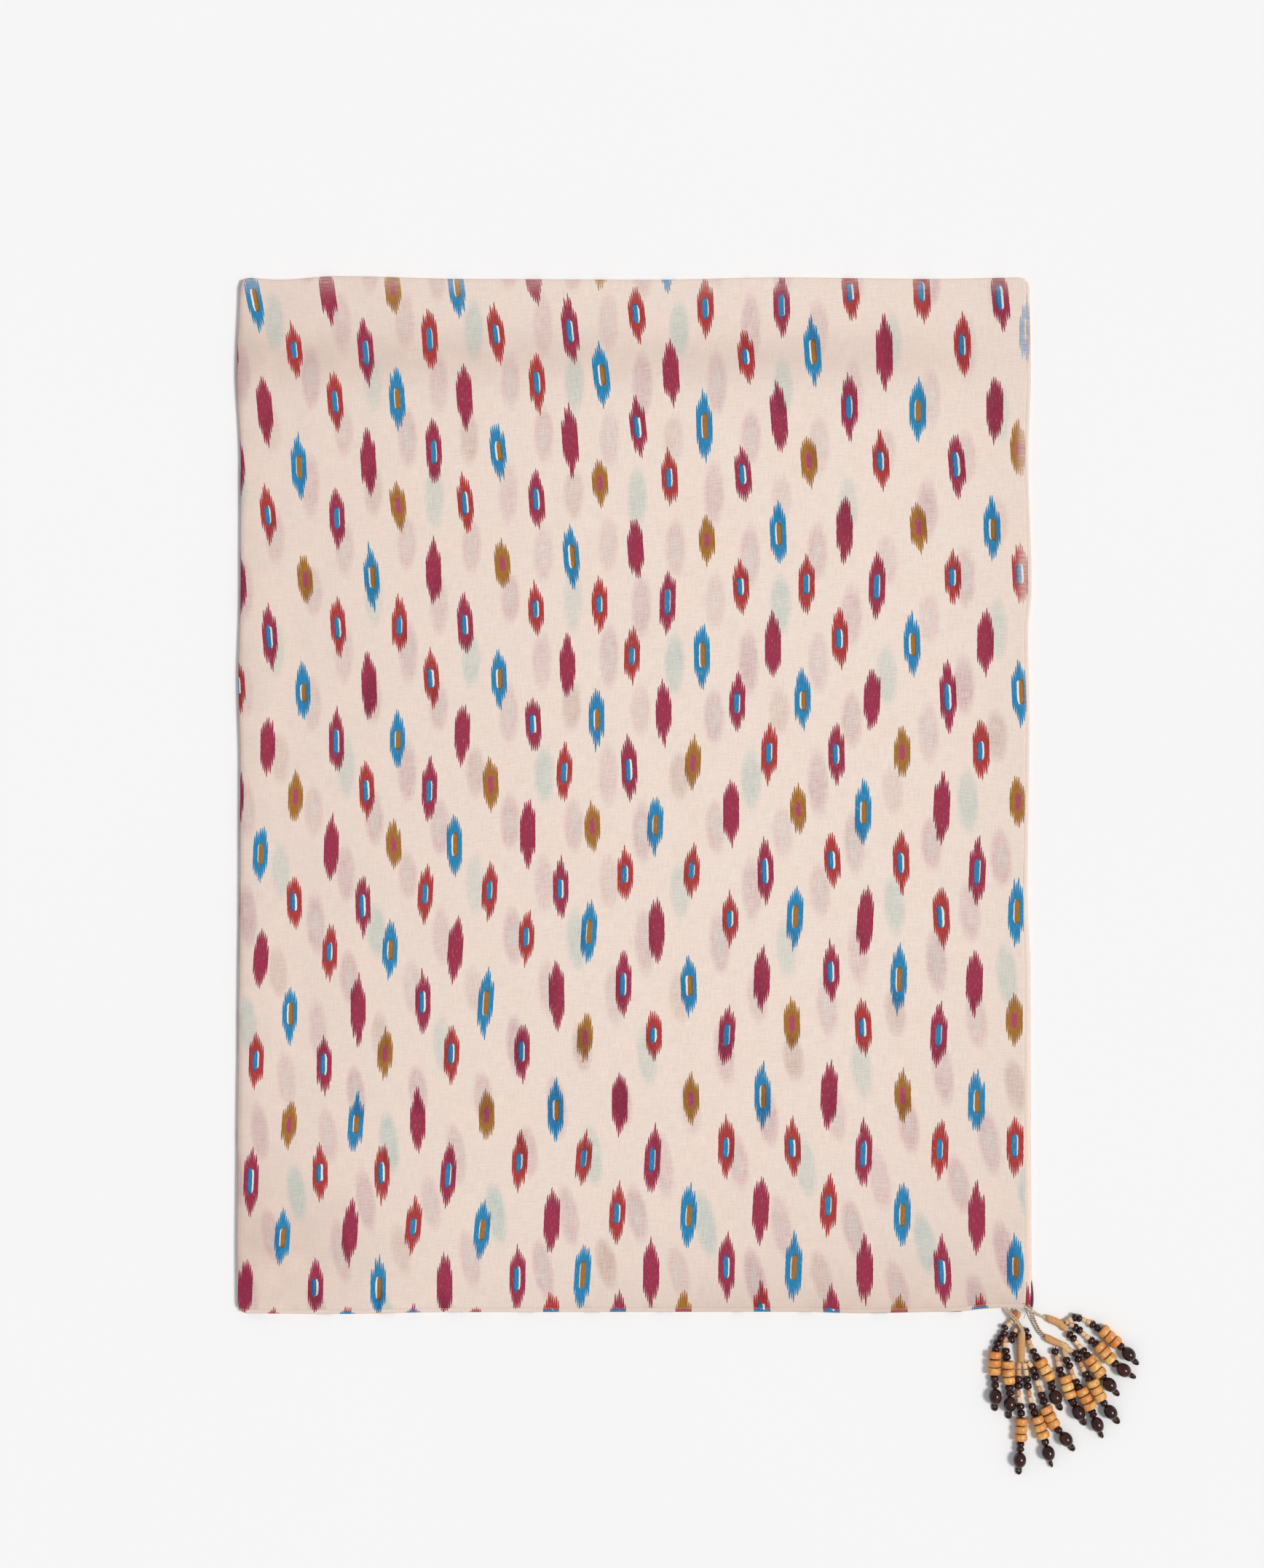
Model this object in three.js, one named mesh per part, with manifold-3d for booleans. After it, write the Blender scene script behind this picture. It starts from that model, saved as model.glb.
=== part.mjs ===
// A printed cotton kerchief, folded in quarters and laid flat, with a beaded tassel at each corner.
// Millimetres, +Z up, +Y towards the fold that runs across. The cloth lies on z = 0, and the
// origin is on that plane, below the middle of the whole piece, tassels included.
// Folding once to the left and once across brings all four corners together at the lower right,
// so the left edge is two folds on each other, the top edge is one fold round another, and the
// right and bottom edges are four rolled hems.
import * as THREE from 'three';
import { mergeVertices } from 'three/addons/utils/BufferGeometryUtils.js';
import Module from 'manifold-3d';

const wasm = await Module();
wasm.setup();

// ---------------------------------------------------------------- driving dimensions
const FOLDED = { left: -283, right: 217, bottom: -276.7, top: 376.8 }; // 500 x 653.5 folded
const GAP = 0.3; // between neighbouring pieces
const COLUMNS = 28; // cells across the panel
const ROWS = 28; // cells along it
const HEM_WIDTH = 3.5;
const RIGHT_SET_BACK = 3.5; // the top layer's hem ends this far inside the lower ones
const BOTTOM_SET_BACK = 0.6;
const CORNER_PULL = 1.5; // how far a corner is rounded in
const CORNER_REACH = 6;

const STRAND = { wide: 2.4, narrow: 1.0, knot: 3.0, low: 2.3 }; // widths, and its lying height
const BORE = 1.0; // radius of the hole in each large bead
const DISCS = { radius: 4.0, waist: 3.2, each: 4.6, count: 3, height: 4.3, sides: 10 };
const END_BEAD = { radius: 4.3, half: 4.7, height: 4.7, sides: 10 };
const TIP_LENGTH = 3.6; // the knot and seed ring past the end bead
const HEAD_SIDES = 12;

// How far each edge of the folded cloth wanders outwards, at places along that edge.
const WANDER = {
  left: [
    { at: -276, out: 1.7 },
    { at: -233, out: 2.2 },
    { at: -165, out: 1.7 },
    { at: -95, out: 0.5 },
    { at: -13, out: -0.6 },
    { at: 70, out: -0.8 },
    { at: 126, out: 0.4 },
    { at: 178, out: -1.0 },
    { at: 264, out: -1.0 },
    { at: 320, out: 1.3 },
    { at: 378, out: -0.6 },
  ],
  right: [
    { at: -276, out: 1.4 },
    { at: -150, out: 1.0 },
    { at: -68, out: 0.5 },
    { at: -13, out: -1.6 },
    { at: 98, out: -0.4 },
    { at: 153, out: -1.3 },
    { at: 181, out: 1.0 },
    { at: 264, out: -1.1 },
    { at: 320, out: 0.5 },
    { at: 378, out: -0.4 },
  ],
  top: [
    { at: -283, out: 0.4 },
    { at: -260, out: -0.9 },
    { at: -222, out: 1.4 },
    { at: -140, out: -0.4 },
    { at: -20, out: -0.9 },
    { at: 60, out: 0.5 },
    { at: 160, out: -0.4 },
    { at: 217, out: 0.5 },
  ],
  bottom: [
    { at: -283, out: 0.7 },
    { at: -223, out: 1.2 },
    { at: -150, out: 0 },
    { at: 72, out: -0.2 },
    { at: 109, out: 0.7 },
    { at: 165, out: -0.2 },
    { at: 200, out: -2.8 },
    { at: 217, out: -2.4 },
  ],
};

// Soft rises where the layers hold air. Each is a long mound: `long` is its reach along
// `heading` degrees from +X, and `wide` its reach to each side.
const RISES = [
  { x: -270, y: 60, heading: 90, long: 330, wide: 15, height: 1.2 }, // along the left folds
  { x: -40, y: 368, heading: 0, long: 260, wide: 12, height: 0.9 }, // along the top fold
  { x: -262, y: -235, heading: 75, long: 60, wide: 24, height: 1.6 }, // lower left corner
  { x: -255, y: 345, heading: 40, long: 50, wide: 20, height: 0.8 }, // upper left corner
  { x: 188, y: -225, heading: 110, long: 60, wide: 22, height: 0.7 }, // above the tassels
  { x: -90, y: -180, heading: 20, long: 110, wide: 32, height: 0.6 },
  { x: 60, y: 150, heading: -25, long: 130, wide: 36, height: 0.5 },
];

// Where the top layer turns down over a fold, from its tucked end up to the flat: how far in the
// face and the back are, their heights, and the share of a rise that reaches them.
const LEFT_TURN = [
  { face: 0.45, faceZ: 2.25, back: 1.4, backZ: 2.25, lift: 0 },
  { face: 0.0, faceZ: 3.0, back: 1.0, backZ: 2.8, lift: 0.35 },
  { face: 0.6, faceZ: 3.9, back: 1.3, backZ: 3.15, lift: 0.8 },
  { face: 2.4, faceZ: 4.3, back: 2.4, backZ: 3.3, lift: 1 },
];
const TOP_TURN = [
  { face: 0.7, faceZ: 0.3, back: 1.6, backZ: 0.3, lift: 0 },
  { face: 0.1, faceZ: 1.0, back: 1.1, backZ: 1.1, lift: 0.1 },
  { face: 0.0, faceZ: 2.4, back: 1.0, backZ: 2.3, lift: 0.4 },
  { face: 0.6, faceZ: 3.8, back: 1.3, backZ: 3.1, lift: 0.8 },
  { face: 2.4, faceZ: 4.3, back: 2.4, backZ: 3.3, lift: 1 },
];
const FLAT = { faceZ: 4.3, backZ: 3.3, lift: 1 };

// The rolled hem's section, from its inner side to its outer edge.
const HEM = [
  { across: 0, faceZ: 4.2, backZ: 3.4 },
  { across: 0.5, faceZ: 4.7, backZ: 3.3 },
  { across: 1.8, faceZ: 4.9, backZ: 3.3 },
  { across: 3.0, faceZ: 4.7, backZ: 3.3 },
  { across: HEM_WIDTH, faceZ: 4.1, backZ: 3.5 },
];

// The three hidden layers as one solid: how far each side is in, at heights going up. The
// grooves between the layers show at the right and bottom, and between the two left folds.
const HIDDEN = [
  { z: 0.0, left: 0.8, top: 2.4, right: 0.8, bottom: 0.8 },
  { z: 0.35, left: 0.2, top: 2.0, right: 0.1, bottom: 0.1 },
  { z: 0.8, left: 0.0, top: 1.9, right: 0.0, bottom: 0.0 },
  { z: 1.0, left: 0.0, top: 1.9, right: 1.5, bottom: 1.4 },
  { z: 1.2, left: 0.05, top: 1.9, right: 0.6, bottom: 0.3 },
  { z: 1.7, left: 0.5, top: 1.9, right: 0.5, bottom: 0.3 },
  { z: 1.95, left: 1.7, top: 1.9, right: 2.4, bottom: 2.0 },
  { z: 2.2, left: 1.9, top: 1.9, right: 1.6, bottom: 1.0 },
  { z: 2.8, left: 1.9, top: 1.9, right: 1.5, bottom: 0.9 },
  { z: 3.0, left: 2.6, top: 2.6, right: 2.2, bottom: 1.7 },
];

// Tassels, placed from the meeting point of the four corners. Each cord leaves the hem at
// `leaves` (x, height), passes through `via` (x, y, height) and holds a thread-wrapped head
// from `neck` to `end` (x, y, height).
const CORNERS_MEET = { x: 212, y: -274.7 };
const TASSELS = {
  a: {
    leaves: { x: -4.1, z: 2.4 }, via: [],
    neck: [-4.2, -1.6, 2.5], end: [-5.2, -8.0, 2.5], radius: 2.1, cords: 1,
  },
  b: {
    leaves: { x: -10.6, z: 4.0 }, via: [[-5.2, -5.5, 6.0]],
    neck: [-0.9, -16.6, 5.2], end: [-1.2, -32.7, 2.9], radius: 2.3, cords: 1,
  },
  c: {
    leaves: { x: 4.4, z: 1.5 }, via: [[8.0, -11.5, 1.9]],
    neck: [14.4, -17.6, 2.6], end: [28.6, -23.8, 2.8], radius: 2.4, cords: 2,
  },
  d: {
    leaves: { x: 1.6, z: 3.2 }, via: [[7.1, -1.7, 3.0]],
    neck: [15.0, -5.6, 2.7], end: [26.6, -11.2, 2.8], radius: 2.4, cords: 1,
  },
};
const CORD = { width: 1.5, pairWidth: 0.9, pairApart: 1.3 };

// Each strand: its bends before the wood discs (x, y), then the middle of the three discs and
// of the end bead (x, y, and the way it points in degrees from -Y towards +X).
const STRANDS = [
  { name: 'a1', bends: [[-11.7, -13.0], [-16.4, -22.5]], discs: [-18.0, -33.6, -2], bead: [-17.5, -54.7, 0] },
  { name: 'a2', bends: [[-7.0, -17.0], [-11.4, -22.0]], discs: [-9.2, -39.6, 2], bead: [-8.3, -59.6, -4] },
  { name: 'a3', bends: [[1.7, -14.7], [7.1, -28.1]], discs: [13.8, -37.6, 29], bead: [20.5, -55.2, 24] },
  { name: 'b1', bends: [[-2.4, -38.5], [-2.8, -54.8]], discs: [-1.2, -75.5, -2], bead: [-2.1, -94.8, -3] },
  { name: 'b2', bends: [[1.7, -38.0], [4.3, -54.8]], discs: [10.8, -74.1, 20], bead: [15.9, -90.4, 15] },
  { name: 'b3', bends: [[4.9, -36.5], [11.2, -52.5]], discs: [17.0, -67.5, 27], bead: [27.0, -81.6, 35] },
  { name: 'c1', bends: [[21.4, -29.5], [23.5, -38.5]], discs: [27.9, -48.6, 17], bead: [34.9, -64.9, 29] },
  { name: 'c2', bends: [[28.6, -33.0], [33.6, -44.5]], discs: [39.6, -56.2, 27], bead: [46.8, -72.4, 22] },
  { name: 'c3', bends: [[34.3, -29.6], [40.2, -40.0]], discs: [46.4, -50.6, 27], bead: [55.2, -64.5, 36] },
  { name: 'd1', bends: [[30.6, -17.5], [38.6, -26.0]], discs: [45.4, -35.5, 37], bead: [54.7, -47.2, 39] },
  { name: 'd2', bends: [[34.2, -12.6], [43.2, -19.4]], discs: [51.6, -27.0, 42], bead: [63.5, -38.0, 55] },
  { name: 'd3', bends: [[33.0, -6.0], [44.0, -9.6]], discs: [54.7, -16.9, 47], bead: [66.6, -27.9, 42] },
];

// ---------------------------------------------------------------- materials
const finish = (color, roughness) => new THREE.MeshStandardMaterial({ color, roughness, metalness: 0 });
const printedCotton = finish(0xe6d3c7, 0.9);
const hemCotton = finish(0xe9d8cc, 0.9);
const tanThread = finish(0xcda06e, 0.8);
const lightWood = finish(0xe1a55f, 0.5);
const darkWood = finish(0x32140f, 0.3);

// ---------------------------------------------------------------- small helpers
const mix = THREE.MathUtils.lerp;

// A value read from rows of {at, out}, eased from one row to the next.
function eased(rows, at) {
  const next = rows.findIndex((row) => row.at > at);
  if (next === 0) return rows[0].out;
  if (next < 0) return rows[rows.length - 1].out;
  const [a, b] = [rows[next - 1], rows[next]];
  return mix(a.out, b.out, THREE.MathUtils.smoothstep(at, a.at, b.at));
}

const leftEdge = (y) => FOLDED.left - eased(WANDER.left, y);
const rightEdge = (y) => FOLDED.right + eased(WANDER.right, y);
const bottomEdge = (x) => FOLDED.bottom - eased(WANDER.bottom, x);
const topEdge = (x) => FOLDED.top + eased(WANDER.top, x);

function rise(x, y) {
  return RISES.reduce((sum, mound) => {
    const turn = THREE.MathUtils.degToRad(mound.heading);
    const [dx, dy] = [x - mound.x, y - mound.y];
    const along = (dx * Math.cos(turn) + dy * Math.sin(turn)) / mound.long;
    const aside = (dy * Math.cos(turn) - dx * Math.sin(turn)) / mound.wide;
    return sum + mound.height * Math.exp(-along * along - aside * aside);
  }, 0);
}

// A point of the folded cloth from its shares of the width and length and the steps in mm from
// there, with the corners rounded in.
function clothPlace(across, along, stepX, stepY) {
  const straightX = mix(FOLDED.left, FOLDED.right, across);
  const straightY = mix(FOLDED.bottom, FOLDED.top, along);
  const [left, right] = [leftEdge(straightY), rightEdge(straightY)];
  const [bottom, top] = [bottomEdge(straightX), topEdge(straightX)];
  const x = mix(left, right, across) + stepX;
  const y = mix(bottom, top, along) + stepY;
  const near = (distance) => Math.max(0, 1 - distance / CORNER_REACH);
  const pull = (edgeX, edgeY) => CORNER_PULL * near(Math.abs(x - edgeX)) * near(Math.abs(y - edgeY));
  const [atLeft, atRight] = [pull(left, bottom) + pull(left, top), pull(right, bottom) + pull(right, top)];
  const [atBottom, atTop] = [pull(left, bottom) + pull(right, bottom), pull(left, top) + pull(right, top)];
  return { x: x + atLeft - atRight, y: y + atBottom - atTop };
}

function closedBody(points, faces) {
  const geometry = new THREE.BufferGeometry();
  const numbers = points.flatMap((p) => [p.x, p.y, p.z]);
  geometry.setAttribute('position', new THREE.Float32BufferAttribute(numbers, 3));
  geometry.setIndex(faces.flat());
  geometry.computeVertexNormals();
  return geometry;
}

const quad = (a, b, c, d) => [a, b, c, a, c, d];

function named(name, geometry, material) {
  const mesh = new THREE.Mesh(geometry, material);
  mesh.name = name;
  return mesh;
}

// ---------------------------------------------------------------- the top layer and its hems
// Stations across or along the cloth. A station has its share of the whole, and its own steps
// and heights for the face and the back of the wall.
const turned = (profile, share, sign) =>
  profile.map((row) => ({ share, faceStep: sign * row.face, backStep: sign * row.back, ...row }));

function flatStations(count, firstStep, lastStep) {
  return Array.from({ length: count }, (_, i) => {
    const share = (i + 1) / (count + 1);
    const step = mix(firstStep, lastStep, share);
    return { share, faceStep: step, backStep: step, ...FLAT };
  });
}

const endStation = (share, step) => ({ share, faceStep: step, backStep: step, ...FLAT });

const hemStations = (share, outerStep, sign) =>
  HEM.map(({ across, faceZ, backZ }) => {
    const step = outerStep - sign * (HEM_WIDTH - across);
    return { share, faceStep: step, backStep: step, faceZ, backZ, lift: 1 };
  });

// A closed wall between the face and the back of a grid of stations.
function clothWall(columns, rows) {
  const layer = (side) =>
    rows.flatMap((row) =>
      columns.map((column) => {
        const place = clothPlace(column.share, row.share, column[`${side}Step`], row[`${side}Step`]);
        const lifted = rise(place.x, place.y) * Math.min(column.lift, row.lift);
        return { ...place, z: Math.min(column[`${side}Z`], row[`${side}Z`]) + lifted };
      }),
    );
  const [width, length] = [columns.length, rows.length];
  const face = (i, j) => j * width + i;
  const back = (i, j) => width * length + face(i, j);
  const faces = [];
  for (let j = 0; j < length - 1; j += 1) {
    for (let i = 0; i < width - 1; i += 1) {
      faces.push(quad(face(i, j), face(i + 1, j), face(i + 1, j + 1), face(i, j + 1)));
      faces.push(quad(back(i, j), back(i, j + 1), back(i + 1, j + 1), back(i + 1, j)));
    }
    const [first, last] = [0, width - 1];
    faces.push(quad(back(first, j + 1), back(first, j), face(first, j), face(first, j + 1)));
    faces.push(quad(back(last, j), back(last, j + 1), face(last, j + 1), face(last, j)));
  }
  for (let i = 0; i < width - 1; i += 1) {
    const last = length - 1;
    faces.push(quad(back(i, 0), back(i + 1, 0), face(i + 1, 0), face(i, 0)));
    faces.push(quad(back(i + 1, last), back(i, last), face(i, last), face(i + 1, last)));
  }
  return closedBody([...layer('face'), ...layer('back')], faces);
}

const leftTurn = turned(LEFT_TURN, 0, 1);
const topTurn = turned(TOP_TURN, 1, -1).reverse();
const panelEnd = { right: -(RIGHT_SET_BACK + HEM_WIDTH + GAP), bottom: BOTTOM_SET_BACK + HEM_WIDTH + GAP };
const panelRows = [
  endStation(0, panelEnd.bottom),
  endStation(0, panelEnd.bottom + CORNER_REACH),
  ...flatStations(ROWS - 1, panelEnd.bottom, -TOP_TURN.at(-1).face),
  endStation(1, -CORNER_REACH),
  ...topTurn,
];

const panelColumns = [
  ...leftTurn,
  endStation(0, CORNER_REACH),
  ...flatStations(COLUMNS - 1, LEFT_TURN.at(-1).face, panelEnd.right),
  endStation(1, panelEnd.right - CORNER_REACH),
  endStation(1, panelEnd.right),
];

const topPanel = () => clothWall(panelColumns, panelRows);

const rightHem = () => clothWall(hemStations(1, -RIGHT_SET_BACK, 1), panelRows);

// It runs on under the end of the right hem.
function bottomHem() {
  const rows = hemStations(0, BOTTOM_SET_BACK, -1).reverse();
  return clothWall([...panelColumns, endStation(1, -RIGHT_SET_BACK)], rows);
}

// ---------------------------------------------------------------- the three hidden layers
// Shares from 0 up to 1, without 1 itself, with one more near each end for the round corner.
function sharesAlong(count, length) {
  const corner = CORNER_REACH / length;
  const even = Array.from({ length: count - 1 }, (_, i) => (i + 1) / count);
  return [0, corner, ...even, 1 - corner];
}

function hiddenLayers() {
  const across = sharesAlong(COLUMNS, FOLDED.right - FOLDED.left);
  const upwards = sharesAlong(ROWS, FOLDED.top - FOLDED.bottom);
  const around = [
    ...across.map((u) => ({ u, v: 0 })),
    ...upwards.map((v) => ({ u: 1, v })),
    ...across.map((u) => ({ u: 1 - u, v: 1 })),
    ...upwards.map((v) => ({ u: 0, v: 1 - v })),
  ];
  const ring = ({ z, left, top, right, bottom }) =>
    around.map(({ u, v }) => ({ ...clothPlace(u, v, mix(left, -right, u), mix(bottom, -top, v)), z }));
  const middle = (z) => ({
    x: (FOLDED.left + FOLDED.right) / 2,
    y: (FOLDED.bottom + FOLDED.top) / 2,
    z,
  });
  const count = around.length;
  const points = [...HIDDEN.flatMap(ring), middle(HIDDEN[0].z), middle(HIDDEN.at(-1).z)];
  const [under, over] = [points.length - 2, points.length - 1];
  const faces = [];
  for (let n = 0; n < count; n += 1) {
    const next = (n + 1) % count;
    for (let k = 0; k < HIDDEN.length - 1; k += 1) {
      const [low, high] = [k * count, (k + 1) * count];
      faces.push(quad(low + n, low + next, high + next, high + n));
    }
    const rim = (HIDDEN.length - 1) * count;
    faces.push([under, next, n], [over, rim + n, rim + next]);
  }
  return closedBody(points, faces);
}

// ---------------------------------------------------------------- tassels
const fromCorner = ([x, y, z]) => new THREE.Vector3(CORNERS_MEET.x + x, CORNERS_MEET.y + y, z);

// The way something points that is turned by `degrees` from -Y towards +X.
function pointing(degrees) {
  const turn = THREE.MathUtils.degToRad(degrees);
  return new THREE.Vector3(Math.sin(turn), -Math.cos(turn), 0);
}

// A closed bar of square section through stations of {at, width}. A station may give `axis`, the
// way its section faces. Otherwise it faces from the station before it to the one after.
function squareBar(stations) {
  const points = stations.flatMap(({ at, width, axis }, k) => {
    const before = stations[Math.max(0, k - 1)].at;
    const after = stations[Math.min(stations.length - 1, k + 1)].at;
    const ahead = axis ?? after.clone().sub(before).normalize();
    const aside = ahead.clone().cross(new THREE.Vector3(0, 0, 1)).normalize();
    const above = aside.clone().cross(ahead);
    const half = width / 2;
    const corner = (a, b) => at.clone().addScaledVector(aside, a * half).addScaledVector(above, b * half);
    return [corner(1, 1), corner(-1, 1), corner(-1, -1), corner(1, -1)];
  });
  const faces = [quad(0, 1, 2, 3)];
  for (let k = 0; k < stations.length - 1; k += 1) {
    for (let n = 0; n < 4; n += 1) {
      const [a, b] = [4 * k + n, 4 * k + ((n + 1) % 4)];
      faces.push(quad(b, a, a + 4, b + 4));
    }
  }
  const last = 4 * (stations.length - 1);
  faces.push(quad(last + 3, last + 2, last + 1, last));
  return closedBody(points, faces);
}

// The points of a smooth curve through `places`, evenly spaced.
function along(places, steps) {
  return new THREE.CatmullRomCurve3(places, false, 'centripetal').getSpacedPoints(steps);
}

// Everything about where a strand lies, from its row in STRANDS.
function strandPlan(row) {
  const root = fromCorner(TASSELS[row.name[0]].end);
  const [discs, bead] = [row.discs, row.bead];
  return {
    name: row.name,
    root,
    bends: row.bends.map(([x, y]) => fromCorner([x, y, STRAND.low])),
    discs: fromCorner([discs[0], discs[1], DISCS.height]),
    discsAxis: pointing(discs[2]),
    bead: fromCorner([bead[0], bead[1], END_BEAD.height]),
    beadAxis: pointing(bead[2]),
  };
}

// The strand runs thick where small beads cover it and thin through the large ones.
function strandBar(plan) {
  const discEnd = (DISCS.each * DISCS.count) / 2 + GAP;
  const beadEnd = END_BEAD.half + GAP;
  const shoulder = 0.35; // length over which the width changes
  const onDiscs = (distance, width) => ({
    at: plan.discs.clone().addScaledVector(plan.discsAxis, distance),
    width,
    axis: plan.discsAxis,
  });
  const onBead = (distance, width) => ({
    at: plan.bead.clone().addScaledVector(plan.beadAxis, distance),
    width,
    axis: plan.beadAxis,
  });
  const entry = onDiscs(-discEnd - shoulder, STRAND.wide);
  const run = along([plan.root, ...plan.bends, entry.at], 6).slice(0, -1);
  return squareBar([
    ...run.map((at) => ({ at, width: STRAND.wide })),
    entry,
    onDiscs(-discEnd, STRAND.narrow),
    onDiscs(discEnd, STRAND.narrow),
    onDiscs(discEnd + shoulder, STRAND.wide),
    onBead(-beadEnd - shoulder, STRAND.wide),
    onBead(-beadEnd, STRAND.narrow),
    onBead(beadEnd, STRAND.narrow),
    onBead(beadEnd + shoulder, STRAND.knot),
    onBead(beadEnd + TIP_LENGTH, STRAND.wide),
  ]);
}

// The thread-wrapped head, a turned shape from `from` to `to`.
function wrappedHead(from, to, radius) {
  const length = from.distanceTo(to);
  const profile = [[0, 0], [0.75, 0], [1, 0.12], [1, 0.85], [0.8, 1], [0, 1]];
  const points = profile.map(([r, h]) => new THREE.Vector2(r * radius, h * length));
  const head = new THREE.LatheGeometry(points, HEAD_SIDES);
  const axis = to.clone().sub(from).normalize();
  const turn = new THREE.Quaternion().setFromUnitVectors(new THREE.Vector3(0, 1, 0), axis);
  return head.applyMatrix4(new THREE.Matrix4().compose(from, turn, new THREE.Vector3(1, 1, 1)));
}

// One cord, or a pair lying side by side, from the hem into the head.
function tasselCords({ leaves, via, neck, cords }) {
  const hemX = CORNERS_MEET.x + leaves.x;
  const start = new THREE.Vector3(hemX, bottomEdge(hemX) - GAP / 3, leaves.z);
  const into = fromCorner(neck);
  const last = via.length ? fromCorner(via.at(-1)) : start;
  const beyond = into.clone().add(into.clone().sub(last).setLength(1));
  const route = along([start, ...via.map(fromCorner), beyond], via.length ? 6 : 2);
  const width = cords === 1 ? CORD.width : CORD.pairWidth;
  return Array.from({ length: cords }, (_, k) => {
    const aside = new THREE.Vector3((k - (cords - 1) / 2) * CORD.pairApart, 0, 0);
    const stations = route.map((at) => ({ at: at.clone().add(aside), width }));
    stations[0].axis = pointing(0);
    return squareBar(stations);
  });
}

function toManifold(geometry) {
  const bare = geometry.clone().deleteAttribute('normal').deleteAttribute('uv');
  const merged = mergeVertices(bare, 1e-4);
  return new wasm.Manifold(new wasm.Mesh({
    numProp: 3,
    vertProperties: Float32Array.from(merged.attributes.position.array),
    triVerts: Uint32Array.from(merged.index.array),
  }));
}

function fused(geometries) {
  const whole = geometries.map(toManifold).reduce((sum, body) => sum.add(body));
  const { vertProperties, triVerts } = whole.getMesh();
  const geometry = new THREE.BufferGeometry();
  geometry.setAttribute('position', new THREE.Float32BufferAttribute(vertProperties, 3));
  geometry.setIndex(Array.from(triVerts));
  geometry.computeVertexNormals();
  return geometry;
}

function tassel(letter, plans) {
  const row = TASSELS[letter];
  const head = wrappedHead(fromCorner(row.neck), fromCorner(row.end), row.radius);
  const strands = plans.filter(({ name }) => name[0] === letter).map(strandBar);
  return named(`tassel_${letter}`, fused([head, ...tasselCords(row), ...strands]), tanThread);
}

// ---------------------------------------------------------------- large beads
function turnedOn(centre, axis, mesh) {
  mesh.position.copy(centre);
  mesh.quaternion.setFromUnitVectors(new THREE.Vector3(0, 1, 0), axis);
  return mesh;
}

function woodDiscs({ name, discs, discsAxis }) {
  const { radius, waist, each, count, sides } = DISCS;
  const half = (each * count) / 2;
  const profile = [[BORE, -half], [waist, -half]];
  for (let k = 0; k < count; k += 1) {
    const start = k * each - half;
    profile.push([radius, start + each * 0.25], [radius, start + each * 0.75], [waist, start + each]);
  }
  profile.push([BORE, half], [BORE, -half]);
  const points = profile.map(([r, h]) => new THREE.Vector2(r, h));
  const stack = new THREE.LatheGeometry(points, sides);
  return turnedOn(discs, discsAxis, named(`wood_discs_${name}`, stack, lightWood));
}

function endBead({ name, bead, beadAxis }) {
  const { radius, half, sides } = END_BEAD;
  const girth = [[0.62, 0.88], [0.92, 0.5], [1, 0]];
  const lower = girth.map(([r, h]) => [r * radius, -h * half]);
  const upper = girth.slice(0, -1).reverse().map(([r, h]) => [r * radius, h * half]);
  const profile = [[BORE, -half], ...lower, ...upper, [BORE, half], [BORE, -half]];
  const points = profile.map(([r, h]) => new THREE.Vector2(r, h));
  const oval = new THREE.LatheGeometry(points, sides);
  return turnedOn(bead, beadAxis, named(`end_bead_${name}`, oval, darkWood));
}

// ---------------------------------------------------------------- the whole kerchief
const kerchief = new THREE.Group();
const plans = STRANDS.map(strandPlan);
kerchief.add(named('cloth_top', topPanel(), printedCotton));
kerchief.add(named('cloth_folds', hiddenLayers(), printedCotton));
kerchief.add(named('hem_right', rightHem(), hemCotton));
kerchief.add(named('hem_bottom', bottomHem(), hemCotton));
Object.keys(TASSELS).forEach((letter) => kerchief.add(tassel(letter, plans)));
plans.forEach((plan) => kerchief.add(woodDiscs(plan), endBead(plan)));

export default kerchief;
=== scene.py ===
"""A printed cotton kerchief, folded in quarters, with a beaded tassel at each corner.

Shapes are worked out in millimetres, in the CAD frame, and become metres when a mesh is made.
"""

import math

import bpy
import numpy as np
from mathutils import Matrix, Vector


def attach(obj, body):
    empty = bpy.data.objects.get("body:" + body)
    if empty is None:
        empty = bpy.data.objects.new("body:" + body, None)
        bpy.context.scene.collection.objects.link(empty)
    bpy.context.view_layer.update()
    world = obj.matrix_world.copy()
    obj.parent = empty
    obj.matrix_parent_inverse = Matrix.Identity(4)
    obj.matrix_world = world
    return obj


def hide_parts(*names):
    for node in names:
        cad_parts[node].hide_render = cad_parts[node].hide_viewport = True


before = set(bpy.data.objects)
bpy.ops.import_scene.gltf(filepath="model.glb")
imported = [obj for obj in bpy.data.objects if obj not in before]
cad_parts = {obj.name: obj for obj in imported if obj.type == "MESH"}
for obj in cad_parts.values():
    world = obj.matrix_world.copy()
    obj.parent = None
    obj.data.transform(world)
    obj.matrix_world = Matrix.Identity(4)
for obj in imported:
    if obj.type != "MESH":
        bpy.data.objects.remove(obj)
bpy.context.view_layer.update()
MM = 0.001
RANDOM = np.random.default_rng(7)

# ---- the folded cloth's form
FOLDED = {"left": -283.0, "right": 217.0, "bottom": -276.7, "top": 376.8}
HEM_WIDTH = {"right": 2.4, "bottom": 2.8}
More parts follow.
